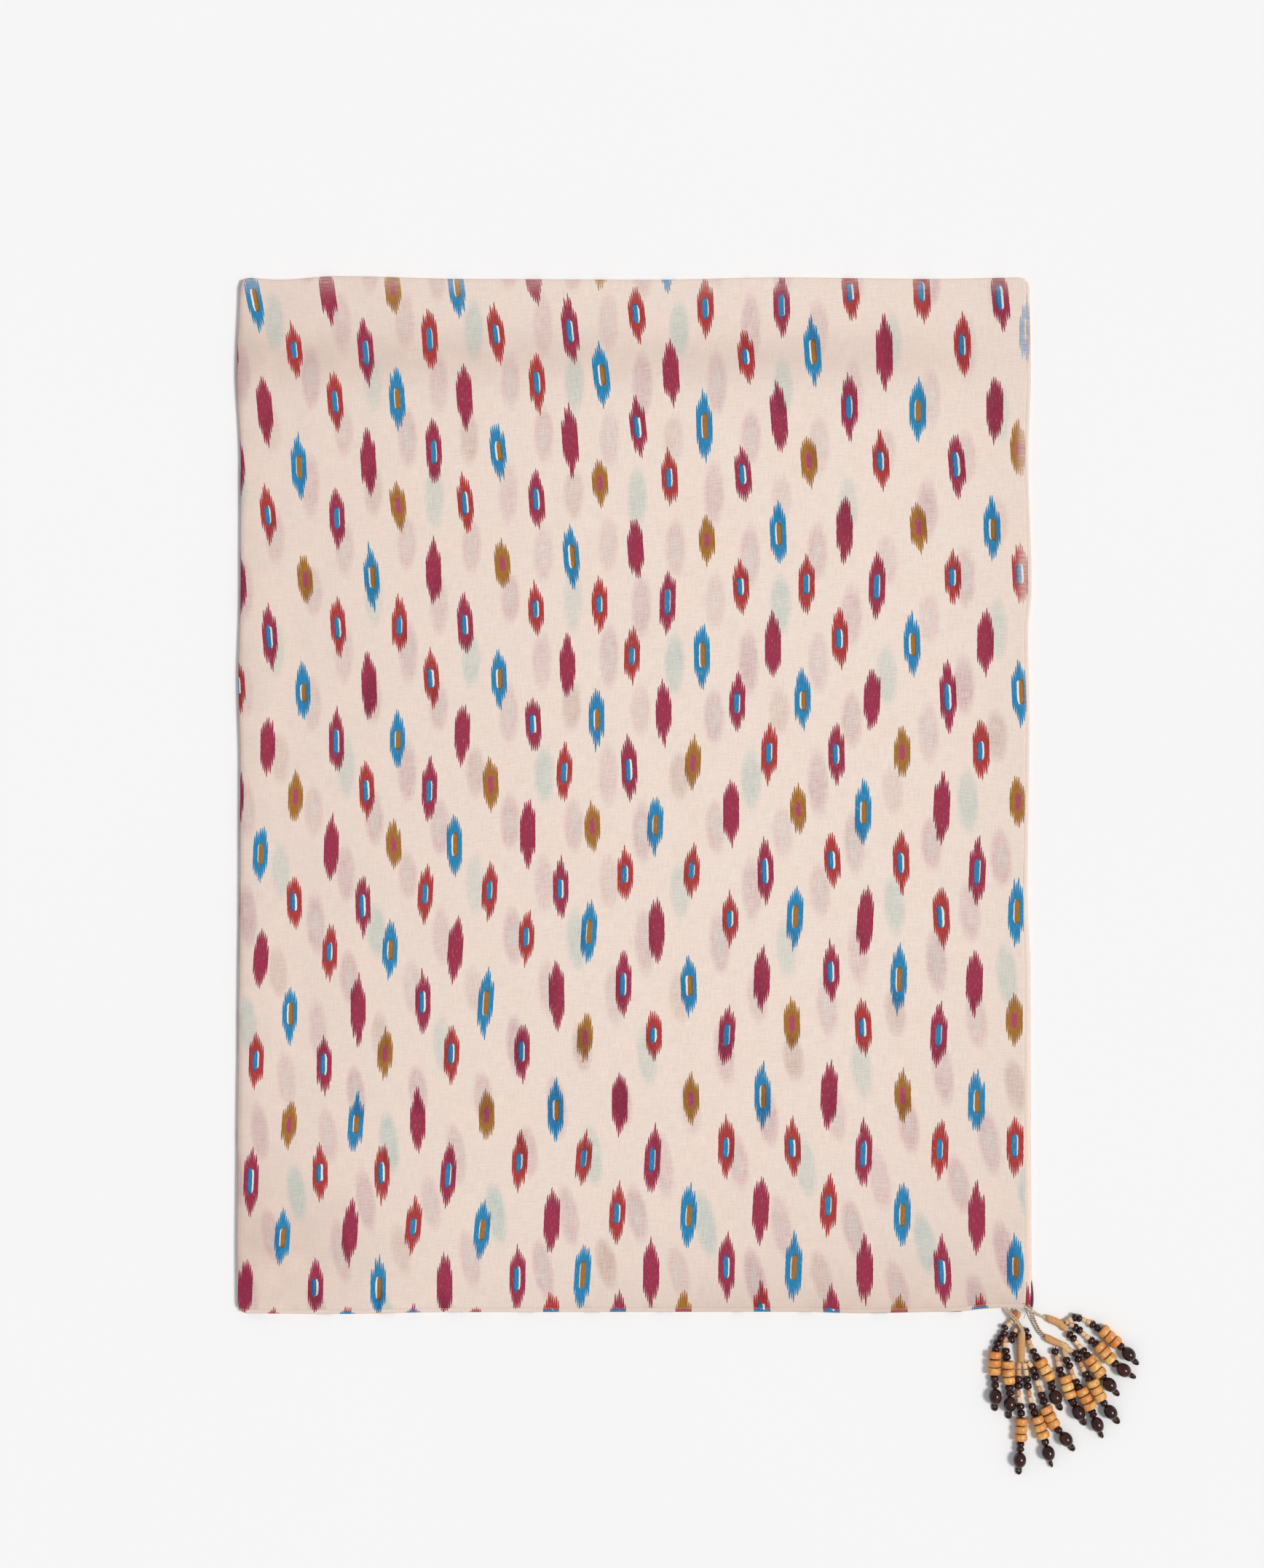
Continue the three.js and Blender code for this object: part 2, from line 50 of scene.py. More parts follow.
# How far inside the lower layers the top layer's right hem ends (height on the cloth, distance).
RIGHT_SET_BACK = [(-276, 5.0), (-264, 4.4), (-244, 2.7), (-150, 2.4), (-60, 1.9), (30, 0.9), (378, 0.7)]
HEM_RISE = {"right": 0.34, "bottom": 0.5}
ROLLED_IN = 1.5  # length of cloth rolled in for each mm of a hem's width
STITCH_PITCH = {"right": 2.6, "bottom": 1.3}
STITCH_RADIUS = {"right": 0.11, "bottom": 0.16}
BOTTOM_SET_BACK = 0.6
TUCKED = 0.5  # how far the panel runs on below its hems
CORNER_PULL = 1.5
CORNER_REACH = 6.0
CLOTH_WALL = 0.35
TURN_STEPS = 11  # rows of the mesh round a fold
HEM_MIDDLE = 4.05
STITCH_HEIGHT = 4.4
HEM_SIDES = 14

# How far each edge wanders outwards (place along the edge, distance).
WANDER = {
    "left": [(-276, 0.9), (-233, 1.1), (-165, 0.9), (-95, 0.2), (-13, -0.6), (70, -0.8),
             (126, 0.4), (178, -1.0), (264, -1.0), (320, 1.3), (378, -0.6)],
    "right": [(-276, 1.6), (-235, 0.8), (-150, 0.5), (-68, 0.3), (-13, -1.6), (98, -0.4),
              (153, -1.3), (181, 1.0), (264, -1.1), (320, 0.5), (378, -0.4)],
    "top": [(-283, 0.4), (-260, -0.9), (-222, 1.4), (-140, -0.4), (-20, -0.9),
            (60, 0.5), (160, -0.4), (217, 0.5)],
    "bottom": [(-283, 0.7), (-223, 1.2), (-150, 0), (72, -0.2), (109, 0.7),
               (165, -0.2), (200, -2.8), (217, -2.4)],
}

# Soft rises where the layers hold air: x, y, heading in degrees, reach along it, reach to each
# side, height.
RISES = [
    (-270, 60, 90, 330, 15, 1.2),
    (-40, 368, 0, 260, 12, 0.9),
    (-262, -235, 75, 60, 24, 1.6),
    (-255, 345, 40, 50, 20, 0.8),
    (188, -225, 110, 60, 22, 0.7),
    (-90, -180, 20, 110, 32, 0.6),
    (60, 150, -25, 130, 36, 0.5),
]

# Where the top layer turns down over a fold: how far in, height, share of a rise.
LEFT_TURN = [(0.45, 2.25, 0.0), (0.0, 3.0, 0.35), (0.6, 3.9, 0.8), (2.4, 4.3, 1.0)]
TOP_TURN = [(0.7, 0.3, 0.0), (0.1, 1.0, 0.1), (0.0, 2.4, 0.4), (0.6, 3.8, 0.8), (2.4, 4.3, 1.0)]
FACE_HEIGHT = 4.3

# The three hidden layers: height, then how far in each side is (left, top, right, bottom).
HIDDEN = [
    (0.0, 0.9, 2.6, 0.9, 0.9),
    (0.12, 0.45, 2.2, 0.35, 0.35),
    (0.35, 0.15, 2.0, 0.08, 0.08),
    (0.6, 0.0, 1.9, 0.0, 0.0),
    (0.8, 0.0, 1.9, 0.1, 0.1),
    (0.93, 0.0, 1.9, 0.5, 0.5),
    (1.0, 0.0, 1.9, 1.5, 1.4),
    (1.07, 0.05, 1.9, 1.0, 0.8),
    (1.25, 0.1, 1.9, 0.6, 0.3),
    (1.5, 0.25, 1.9, 0.45, 0.2),
    (1.7, 0.5, 1.9, 0.5, 0.3),
    (1.85, 0.9, 1.9, 0.9, 0.7),
    (1.95, 1.5, 1.9, 2.4, 2.0),
    (2.05, 1.8, 1.9, 1.9, 1.4),
    (2.25, 1.9, 1.9, 1.6, 1.0),
    (2.6, 1.95, 1.9, 1.45, 0.9),
    (2.85, 2.1, 2.0, 1.6, 1.1),
    (3.0, 2.8, 2.8, 2.4, 1.9),
]

# ---- the print
HIDDEN_PRINT = (0.665, 0.76)  # where the mirrored print of the hidden layers starts
PITCH = (42.8, 69.6)  # between motifs in a row, and between every second row
ROW_PITCH = PITCH[1] / 2
PRINT_START = (-272.9, 32.8)  # where the motif at the left of the middle row stands
PRINT_HALF = (5.5, 10.0)  # half the motifs across the cloth, and half its rows

# The repeat, row by row from the top: each motif's kind, and how far it stands to the right of
# and above its even place.
CHART = [
    [("C", -4.0, -3.0), ("A", 0.5, 0.5), ("D", -1.0, 0.0)],
    [("E", -1.5, 1.0), ("B", 1.5, -2.5), ("E", -0.5, 2.5)],
    [("A", -1.0, -0.5), ("E", 2.0, 3.5), ("C", -1.0, 3.0)],
    [("C", -1.5, -1.0), ("A", 1.0, 0.0), ("B", 0.5, 3.0)],
    [("E", -1.0, 4.0), ("B", 1.5, 1.0), ("D", -1.5, 6.5)],
    [("D", 1.5, -2.0), ("C", 2.5, -2.5), ("A", 0.0, -2.5)],
    [("B", -0.5, -3.0), ("E", 2.0, 2.0), ("E", -0.5, 0.5)],
    [("C", 0.5, -4.0), ("A", 1.5, -1.5), ("E", -0.5, 0.5)],
    [("A", -1.0, -2.5), ("B", 2.0, -1.0), ("C", -0.5, -2.0)],
    [("D", -3.0, -1.0), ("E", 1.5, 1.5), ("B", 0.0, -1.5)],
]
BURGUNDY = (150, 32, 68)
RUST = (168, 44, 48)
BLUE = (0, 126, 176)
MUSTARD = (158, 104, 30)
MAGENTA = (168, 62, 98)
BARE = (241, 232, 224)  # the sliver that a core leaves undyed
TEAL = (16, 166, 166)  # a blue dye seen through the cloth above it
VIOLET = (110, 60, 200)  # what that cloth adds to the other dyes
# The cloth's colours: even, in full painted shade, in blotches, and in the gaps between threads.
CLOTH = {"even": (242, 226, 214), "shaded": (208, 186, 174), "blotch": (243, 221, 206),
         "gap": (186, 160, 148)}
# Each kind: its dye, its core's dye, the side on which the core leaves a bare sliver, half height.
MOTIFS = {
    "A": (BURGUNDY, BURGUNDY, 0, 21.5),
    "B": (BURGUNDY, BLUE, 1, 20.5),
    "C": (BLUE, MUSTARD, -1, 20.5),
    "D": (MUSTARD, MAGENTA, 0, 17.0),
    "E": (RUST, BLUE, 1, 18.5),
}
COLUMN = 1.24  # one tooth of a motif's jagged ends
WEFT = 0.5  # the weft threads that step its edges
CORE = {"half_width": 1.6, "height_share": 0.62, "shorter": 5.9, "window": 1.78}
SEEN_SPOT = {"half_width": 7.0, "core": (3.4, 10.0), "weakest": 0.51, "range": 0.39}
LOWER_PRINT = (11.72, 7.04)  # how far on in the print the layer below lies, in motifs and pairs
NUDGE_RANGE = 16.0
HEIGHT_RANGE = 30.0

# ---- tassels
THREAD_RADIUS = 0.3
DISCS = {"radius": 4.15, "each": 5.0, "count": 3, "height": 4.4}
END_BEAD = {"radius": 4.15, "half": 5.05, "height": 4.7}
# Dark and tan: radius, half length, squareness, sides.
SMALL_BEADS = {"d": (2.55, 2.35, 3.0, 20), "t": (1.6, 1.95, 5.0, 14)}
SMALL_HEIGHT = 2.8
SEED_RING = (1.5, 0.8)  # from its axis to the middle of its wall, and the wall's radius
WRAP_SLANT = 0.45
HEAD_SIDES = 24
RINGS_TO_A_TURN = 6  # of thread round a head
DISC_SIDES = 28
CORNERS_MEET = (212.0, -274.7)

# Each tassel, from where the corners meet: its cords' way from the hem to its head, the middle
# of the thread-wound head with a radius at each place, and where its strands leave it.
TASSELS = {
    "a": {
        "wrap": 0.7, "cords": 1, "apart": 0.0, "ply": 0.33,
        "cord": [(-4.2, 1.4, 3.0), (-4.6, -0.2, 3.4), (-4.4, -2.2, 3.2)],
        "head": [(-5.3, -8.0, 2.3), (-4.3, -5.4, 2.5), (-3.8, -3.6, 3.2), (-4.7, -2.2, 5.0)],
        "radii": [1.4, 2.1, 2.5, 2.6],
        "roots": [(-5.6, -7.2, 2.4), (-4.4, -7.6, 2.6), (-3.4, -6.6, 2.4)],
    },
    "b": {
        "wrap": 0.5, "cords": 2, "apart": 1.3, "ply": 0.3,
        "cord": [(-10.2, 1.2, 3.6), (-9.4, -0.9, 4.4), (-6.4, -4.1, 5.9), (-2.9, -8.2, 6.8),
                 (-0.7, -12.4, 7.1), (0.0, -17.4, 6.3)],
        "head": [(-1.0, -12.6, 5.2), (-1.1, -15.6, 4.9), (-1.2, -23.5, 3.7), (-1.0, -32.2, 2.8)],
        "radii": [1.1, 2.35, 2.6, 2.2],
        "roots": [(-1.9, -32.6, 2.4), (-0.4, -32.8, 2.6), (0.6, -32.2, 2.4)],
    },
    "c": {
        "wrap": 1.3, "cords": 2, "apart": 2.0, "ply": 0.27,
        "cord": [(2.2, 3.0, 3.4), (4.0, 1.4, 3.6), (5.3, -1.4, 3.2), (6.3, -5.4, 1.9), (8.2, -9.8, 1.2),
                 (10.9, -14.3, 1.6), (15.2, -18.2, 2.5)],
        "head": [(13.6, -17.3, 2.6), (15.6, -18.3, 2.6), (20.5, -20.4, 2.6), (25.6, -22.5, 2.6)],
        "radii": [1.7, 2.35, 2.3, 1.9],
        "roots": [(21.3, -22.0, 2.0), (27.4, -29.6, 2.3), (32.0, -25.8, 2.3)],
    },
    "d": {
        "wrap": 0.6, "cords": 1, "apart": 0.0, "ply": 0.42,
        "cord": [(0.8, 2.6, 4.6), (3.6, 0.4, 4.4), (7.3, -1.6, 3.4), (11.6, -4.0, 2.7),
                 (16.5, -6.0, 2.6)],
        "head": [(14.8, -5.2, 2.6), (17.2, -6.2, 2.6), (22.3, -8.2, 2.6), (25.2, -10.2, 2.6),
                 (26.8, -12.8, 2.4)],
        "radii": [1.5, 2.25, 2.3, 2.0, 1.4],
        "roots": [(27.0, -13.2, 2.3), (26.0, -9.6, 2.6), (25.0, -8.2, 3.0)],
    },
}

# Gathered thread ends that stand out of the heads: where each starts and ends, and its width.
TUFTS = {
    "b": [((-1.8, -31.6, 2.8), (-2.2, -34.0, 2.3), 1.5), ((-0.8, -31.6, 2.8), (0.9, -34.3, 2.5), 1.5),
          ((-0.2, -31.4, 2.6), (3.2, -33.4, 2.2), 1.4)],
    "c": [((23.0, -20.6, 3.0), (29.4, -23.0, 3.0), 3.2), ((24.8, -22.4, 2.8), (32.4, -26.7, 2.4), 3.8),
          ((25.6, -23.2, 2.8), (27.9, -30.6, 2.3), 3.5), ((24.2, -22.4, 3.8), (29.6, -27.0, 3.4), 3.0)],
    "d": [((25.6, -11.0, 2.6), (28.2, -14.0, 2.3), 2.4), ((25.0, -9.6, 2.7), (27.6, -9.4, 2.6), 2.2)],
}

ROLLED_CORNER = [(5.4, 20.0, 1.4), (5.9, 13.0, 1.5), (6.2, 7.0, 1.6), (6.0, 2.4, 1.6), (5.2, -0.6, 1.7)]

# Stray thread ends at the corner: their bends, and a tone from dark to pale.
STRAYS = [
    ([(1.6, 1.0, 4.6), (1.2, -1.4, 3.0), (2.0, -3.6, 0.8), (1.0, -5.8, 0.3)], 0.9),
    ([(2.2, 0.8, 4.6), (0.4, -1.2, 2.6), (-0.8, -3.4, 0.4)], 1.0),
    ([(-0.6, 0.2, 4.2), (1.4, -1.0, 3.0), (3.4, -2.6, 1.6)], 0.35),
    ([(3.0, 1.9, 5.0), (5.0, 0.2, 4.6), (7.0, -2.2, 2.6)], 1.0),
]

# Each strand: the middle of its wood discs and of its end bead, with the way each points in
# degrees from -Y towards +X.
STRANDS = {
    "a1": ((-18.0, -33.6, -2), (-17.5, -54.7, 0)),
    "a2": ((-9.2, -39.6, 2), (-8.3, -59.6, -4)),
    "a3": ((13.8, -37.6, 29), (20.5, -55.2, 24)),
    "b1": ((-1.2, -75.5, -2), (-2.1, -94.8, -3)),
    "b2": ((10.8, -74.1, 20), (15.9, -90.4, 15)),
    "b3": ((17.0, -67.5, 27), (27.0, -81.6, 35)),
    "c1": ((27.9, -48.6, 17), (34.9, -64.9, 29)),
    "c2": ((39.6, -56.2, 27), (46.8, -72.4, 22)),
    "c3": ((46.4, -50.6, 27), (55.2, -64.5, 36)),
    "d1": ((45.4, -35.5, 37), (54.7, -47.2, 39)),
    "d2": ((51.6, -27.0, 42), (63.5, -38.0, 55)),
    "d3": ((54.7, -16.9, 47), (66.6, -27.9, 42)),
}

# The small beads between each head and its wood discs: tan or dark by their first letters, and
# their places, with a height where one lies on others.
SMALL = {
    "a1": ("ttddddd", [(-6.9, -7.3, 3.0), (-9.0, -9.4, 2.6), (-11.4, -11.2), (-11.9, -14.9),
        (-14.0, -18.1), (-16.1, -21.3), (-17.2, -25.0)]),
    "a2": ("ttddttdd", [(-3.0, -10.6), (-4.5, -13.0), (-5.6, -15.7), (-7.2, -19.0), (-11.2, -18.9),
        (-11.3, -22.3), (-10.7, -26.1), (-10.1, -30.1)]),
    "a3": ("ddttdd", [(1.9, -13.6), (3.1, -17.1), (3.9, -20.3), (5.1, -23.2), (6.6, -26.3),
        (8.4, -29.9)]),
    "b1": ("ttddttdd", [(-2.4, -35.4), (-2.6, -39.6), (-2.6, -44.0), (-2.8, -48.2), (-2.8, -52.6),
        (-2.4, -56.9), (-1.5, -61.2), (-1.1, -65.5)]),
    "b2": ("ttddttdd", [(1.2, -35.6), (2.0, -39.8), (2.6, -44.2), (3.1, -48.4), (4.0, -52.7),
        (4.8, -56.9), (5.9, -61.1), (7.3, -65.1)]),
    "b3": ("tddttdd", [(4.5, -34.6), (6.6, -38.4), (8.0, -42.4), (9.3, -46.3), (10.5, -50.1),
        (11.8, -54.0), (13.2, -57.9)]),
    "c1": ("dttdd", [(20.3, -26.5), (21.5, -30.5), (22.3, -34.2), (23.2, -37.9), (24.5, -41.7)]),
    "c2": ("ddttdd", [(27.6, -31.9), (29.4, -35.5), (30.7, -39.0), (31.9, -42.3), (33.5, -45.7),
        (35.4, -49.2)]),
    "c3": ("ddttdd", [(33.4, -27.8), (35.0, -31.3), (36.6, -34.5), (38.1, -37.6), (39.8, -40.7),
        (41.8, -43.9)]),
    "d1": ("ddttdd", [(29.6, -15.8), (31.9, -18.2), (33.9, -20.8), (35.9, -23.3), (38.2, -26.0),
        (40.6, -28.9)]),
    "d2": ("tddttdd", [(30.6, -9.6, 3.6), (33.1, -11.3), (35.8, -13.1), (38.2, -15.3), (40.6, -17.4),
        (43.2, -19.6), (46.0, -22.0)]),
    "d3": ("ttddttdd", [(27.9, -7.7, 3.4), (30.0, -6.2, 2.9), (32.6, -5.0), (35.7, -5.5), (38.6, -6.4),
        (41.3, -7.7), (44.0, -9.4), (46.9, -11.5)]),
}


# ---- camera, light and floor
VIEW_HEIGHT = 0.9917  # on the ground, in metres
VIEW_CENTRE = (-0.0348, 0.0573)
LENS = 85.0
SENSOR = 36.0
SUN = {"energy": 2.1, "angle": 15, "colour": (1.0, 0.981, 0.9424), "towards": (-0.6, 0.05, -1.0)}
SKY = {"colour": (0.955, 0.968, 1.02, 1), "strength": 0.4734}
FLOOR_REACH = 12.0


def make_camera():
    data = bpy.data.cameras.new("camera")
    data.lens = LENS
    data.sensor_width = SENSOR
    camera = bpy.data.objects.new("camera", data)
    camera.location = (*VIEW_CENTRE, VIEW_HEIGHT * LENS / SENSOR)
    bpy.context.collection.objects.link(camera)
    bpy.context.scene.camera = camera


def make_lights():
    data = bpy.data.lights.new("key", "SUN")
    data.energy = SUN["energy"]
    data.angle = math.radians(SUN["angle"])
    data.color = SUN["colour"]
    key = bpy.data.objects.new("key", data)
    key.rotation_euler = Vector(SUN["towards"]).to_track_quat("-Z", "Y").to_euler()
    bpy.context.collection.objects.link(key)
    world = bpy.data.worlds.new("studio")
    world.use_nodes = True
    sky = world.node_tree.nodes["Background"]
    sky.inputs["Color"].default_value = SKY["colour"]
    sky.inputs["Strength"].default_value = SKY["strength"]
    bpy.context.scene.world = world
    bpy.context.scene.view_settings.view_transform = "Standard"


def make_floor(material):
    corners = [(x * FLOOR_REACH, y * FLOOR_REACH, 0) for x, y in ((-1, -1), (1, -1), (1, 1), (-1, 1))]
    mesh = bpy.data.meshes.new("floor")
    mesh.from_pydata(corners, [], [(0, 1, 2, 3)])
    mesh.materials.append(material)
    floor = bpy.data.objects.new("floor", mesh)
    bpy.context.collection.objects.link(floor)


# ---- shader helpers
def linear(colour):
    """An sRGB colour from 0 to 255 as the linear colour that a shader takes."""
    shares = [c / 255 for c in colour]
    return tuple(s / 12.92 if s <= 0.04045 else ((s + 0.055) / 1.055) ** 2.4 for s in shares)


def operator(operation, swapped=False):
    """A method of Value that adds one Math node."""
    def apply(value, other):
        pair = (other, value) if swapped else (value, other)
        return value.shader.math(operation, *pair)
    return apply


class Value:
    """A number in a node tree. Arithmetic on it adds nodes."""

    __add__, __sub__, __rsub__ = operator("ADD"), operator("SUBTRACT"), operator("SUBTRACT", True)
    __mul__, __truediv__ = operator("MULTIPLY"), operator("DIVIDE")
    __mod__ = operator("FLOORED_MODULO")
    __pow__, __gt__, __lt__ = operator("POWER"), operator("GREATER_THAN"), operator("LESS_THAN")

    def __init__(self, shader, socket):
        self.shader, self.socket = shader, socket

    def __abs__(self):
        return self.shader.math("ABSOLUTE", self)


class Shader:
    """Writes a node tree as calls that take a Value, a colour's socket, or plain numbers."""

    def __init__(self, tree):
        self.tree = tree

    def put(self, socket, value):
        if isinstance(value, Value):
            value = value.socket
        if isinstance(value, bpy.types.NodeSocket):
            self.tree.links.new(value, socket)
        elif socket.type == "RGBA" and len(value) == 3:
            socket.default_value = (*value, 1)
        else:
            socket.default_value = value

    def fill(self, node, values):
        """Puts values into a node's inputs, by name or by number."""
        for key, value in values.items():
            self.put(node.inputs[key], value)

    def node(self, kind, values=(), **settings):
        """A node with these settings, and with values in its inputs by name or in order."""
        made = self.tree.nodes.new(kind)
        for name, value in settings.items():
            setattr(made, name, value)
        self.fill(made, values if isinstance(values, dict) else dict(enumerate(values)))
        return made

    def math(self, operation, *values):
        return Value(self, self.node("ShaderNodeMath", values, operation=operation).outputs[0])

    def floor(self, value):
        return self.math("FLOOR", value)

    def soft(self, value, start, end):
        """0 at start and 1 at end, eased. Start may be above end."""
        made = self.node("ShaderNodeMapRange", (value, start, end, 0.0, 1.0),
                         interpolation_type="SMOOTHSTEP", clamp=True)
        return Value(self, made.outputs[0])

    def vector(self, x, y, z=0.0):
        return self.node("ShaderNodeCombineXYZ", (x, y, z)).outputs[0]

    def parts(self, vector):
        return [Value(self, part) for part in self.node("ShaderNodeSeparateXYZ", [vector]).outputs]

    def mix(self, share, first, second, blend="MIX"):
        values = {"Factor": share, 6: first, 7: second}
        return self.node("ShaderNodeMix", values, data_type="RGBA", blend_type=blend).outputs[2]

    def times(self, colour, other):
        return self.mix(1.0, colour, other, "MULTIPLY")

    def noise(self, vector, scale=1.0, detail=2.0, roughness=0.5):
        values = {"Vector": vector, "Scale": scale, "Detail": detail, "Roughness": roughness}
        return Value(self, self.node("ShaderNodeTexNoise", values).outputs["Fac"])

    def random(self, x, y, z):
        """A chance for a place, and a colour of three more."""
        made = self.node("ShaderNodeTexWhiteNoise", [self.vector(x, y, z)], noise_dimensions="3D")
        return Value(self, made.outputs["Value"]), made.outputs["Color"]

    def attribute(self, name):
        return Value(self, self.node("ShaderNodeAttribute", attribute_name=name).outputs["Fac"])

    def place(self):
        return self.node("ShaderNodeTexCoord").outputs["Object"]

    def steps(self, position, colours):
        """The colour of the step that position, from 0 to 1, is on, and its alpha."""
        made = self.node("ShaderNodeValToRGB", [position])
        ramp = made.color_ramp
        ramp.interpolation = "CONSTANT"
        while len(ramp.elements) < len(colours):
            ramp.elements.new(1.0)
        for k, colour in enumerate(colours):
            ramp.elements[k].position = k / len(colours)
            ramp.elements[k].color = colour
        return made.outputs["Color"], Value(self, made.outputs["Alpha"])

    def bump(self, height, strength, distance):
        values = {"Strength": strength, "Distance": distance, "Height": height}
        return self.node("ShaderNodeBump", values).outputs[0]


def new_material(name, **settings):
    """A material, its Shader, and a function that sets its surface's inputs by name."""
    material = bpy.data.materials.new(name)
    material.use_nodes = True
    shader = Shader(material.node_tree)
    surface = material.node_tree.nodes["Principled BSDF"]

    def finish(**values):
        shader.fill(surface, {key.replace("_", " "): value for key, value in values.items()})

    finish(**settings)
    return material, shader, finish


def group(name, inputs, outputs):
    """A node group with float inputs and with outputs of the given types: its tree, its Shader,
    its inputs' values and its outputs' node."""
    tree = bpy.data.node_groups.new(name, "ShaderNodeTree")
    for given in inputs:
        tree.interface.new_socket(given, in_out="INPUT", socket_type="NodeSocketFloat")
    for given, kind in outputs.items():
        tree.interface.new_socket(given, in_out="OUTPUT", socket_type=f"NodeSocket{kind}")
    shader = Shader(tree)
    entry = shader.node("NodeGroupInput")
    return tree, shader, [Value(shader, entry.outputs[n]) for n in inputs], shader.node("NodeGroupOutput")


# ---- the print's materials
def chart_steps(shader, position):
    """Reads the chart at a position from 0 to 1: nudges and height, dye, core and its side."""
    places, dyes, cores = [], [], []
    for kind, right, up in (motif for row in CHART for motif in row):
        dye, core, side, height = MOTIFS[kind]
        nudges = (right / NUDGE_RANGE + 0.5, up / NUDGE_RANGE + 0.5)
        places.append((*nudges, height / HEIGHT_RANGE, 1))
        dyes.append((*linear(dye), 1))
        cores.append((*linear(core), side / 2 + 0.5))
    place, _ = shader.steps(position, places)
    dye, _ = shader.steps(position, dyes)
    core, side_share = shader.steps(position, cores)
    return place, dye, core, side_share * 2.0 - 1.0


def rounded(x, y, wide, high, power_x=2.0, power_y=2.0):
    """1 on the edge of a rounded shape of this half width and height, and less inside it."""
    return (abs(x) / wide) ** power_x + (abs(y) / high) ** power_y


def core_shape(s, x, y, wide, high):
    """1 within the long rounded shape at a motif's middle."""
    return s.soft(rounded(x, y, wide, high, 3.0, 5.0), 1.25, 0.75)


def motif_nudges(s, place, column, row):
    """How far a motif stands to the right of its even place and above it, and its height."""
    right, up, height_share = s.parts(place)
    at_hem, lowest = column > 10.5, row > 18.5
    at_corner = at_hem * (row < 2.5)
    bow = abs(row - 13.0) ** 2.0
    nudge_x = (right - 0.5) * NUDGE_RANGE + at_hem * (5.0 - bow * 0.11) + at_corner * 6.2
    nudge_y = (up - 0.5) * NUDGE_RANGE + at_hem * (row * 0.27 + 4.0) + lowest * 4.5
    return nudge_x, nudge_y + at_corner * 5.4, height_share * HEIGHT_RANGE


def motif_group():
    """The motifs of every second row, at a place in the lattice: Across in motifs, Down in pairs
    of rows. Parity 0 is for the even rows and 1 for the odd ones."""
    outputs = {"Dyed": "Float", "Colour": "Color", "Core colour": "Color", "Blurred": "Float",
               "Blurred colour": "Color"}
    tree, s, (given_across, given_down, parity), result = group(
        "motifs", ("Across", "Down", "Parity"), outputs)
    across, down = given_across - parity * 0.5, given_down - parity * 0.5
    column, pair = s.floor(across + 0.5), s.floor(down + 0.5)
    row = pair * 2.0 + parity
    chart_rows, chart_columns = len(CHART), len(CHART[0])
    index = column % chart_columns + (row % chart_rows) * chart_columns
    place, dye, core, side = chart_steps(s, (index + 0.5) / (chart_rows * chart_columns))
    _, chances = s.random(column, row, 0.3)
    chance_a, chance_b, chance_c = s.parts(chances)

    nudge_x, nudge_y, height = motif_nudges(s, place, column, row)
    height = height * (chance_b * 0.14 + 0.93)
    upright = (across - column) * PITCH[0] - nudge_x
    y = (pair - down) * PITCH[1] - nudge_y
    lean = 0.09 - row * 0.006 + (chance_a - 0.5) * 0.1
    feather = s.noise(s.vector(given_across * 40.0, given_down * 22.0))
    thread, _ = s.random(s.floor(y / WEFT), column, row)
    x = upright + y * lean + (feather - 0.5) * 0.45 + (thread - 0.5) * 0.2

    tooth = s.floor(x / COLUMN)
    in_tooth = abs(x / COLUMN - tooth - 0.5)
    outward = abs(tooth + 0.5) * 0.25
    chance, _ = s.random(tooth + column * 17.0, row, s.math("SIGN", y))
    profile = 1.03 - outward ** 1.15 * 0.56
    reach = height * (profile + (chance - 0.5) * 0.24)
    from_tip = s.math("MAXIMUM", reach - abs(y), 0.0)
    inside = ((from_tip / 5.0) ** 0.55 - in_tooth * 2.0) * 3.5 + 0.5
    within = (outward < 1.0) * s.soft(from_tip, 0.0, 0.5)
    dyed = s.math("MINIMUM", s.math("MAXIMUM", inside, 0.0) * within, 1.0)

    ragged = y + (chance - 0.5) * 1.5
    core_half = height * CORE["height_share"] - CORE["shorter"] + chance_c * 0.8
    window = core_shape(s, x, ragged, CORE["window"], core_half - 0.7) * abs(side)
    missed = side * (chance_a * 0.9 + 0.2)
    lower = side * ((chance_b - 0.5) * 0.9)
    in_core = core_shape(s, x + missed, ragged + lower, CORE["half_width"], core_half)
    overlapped = s.mix(0.55, core, s.times(dye, core))
    core_shown = s.mix(s.math("MAXIMUM", window, 1.0 - abs(side)), overlapped, core)
    colour = s.mix(in_core, s.mix(window, dye, linear(BARE)), core_shown)

    has_blue_core, is_blue = side > 0.5, side < -0.5
    seen_dye = s.mix((1.0 - is_blue) * 0.17, dye, linear(VIOLET))
    seen_dye = s.mix(is_blue, seen_dye, linear(TEAL))
    centre = s.soft(rounded(upright, y, *SEEN_SPOT["core"]), 1.5, 0.1) * 0.45 * has_blue_core
    blurred = s.soft(rounded(upright, y, SEEN_SPOT["half_width"], height), 1.15, 0.25)
    blurred = blurred * (chance_c * SEEN_SPOT["range"] + SEEN_SPOT["weakest"])
    s.fill(result, {"Dyed": dyed, "Colour": colour, "Core colour": core, "Blurred": blurred,
                    "Blurred colour": s.mix(centre, seen_dye, linear(TEAL))})
    return tree


def printed(s, motifs, across, down, names):
    """The two sets of rows together: the dyed share and its colour."""
    share, colour = None, None
    for parity in (0.0, 1.0):
        rows = s.node("ShaderNodeGroup", node_tree=motifs)
        s.fill(rows, {"Across": across, "Down": down, "Parity": parity})
        here, tint = Value(s, rows.outputs[names[0]]), rows.outputs[names[1]]
        colour = tint if colour is None else s.mix(here > share, colour, tint)
        share = here if share is None else s.math("MAXIMUM", share, here)
    return share, colour


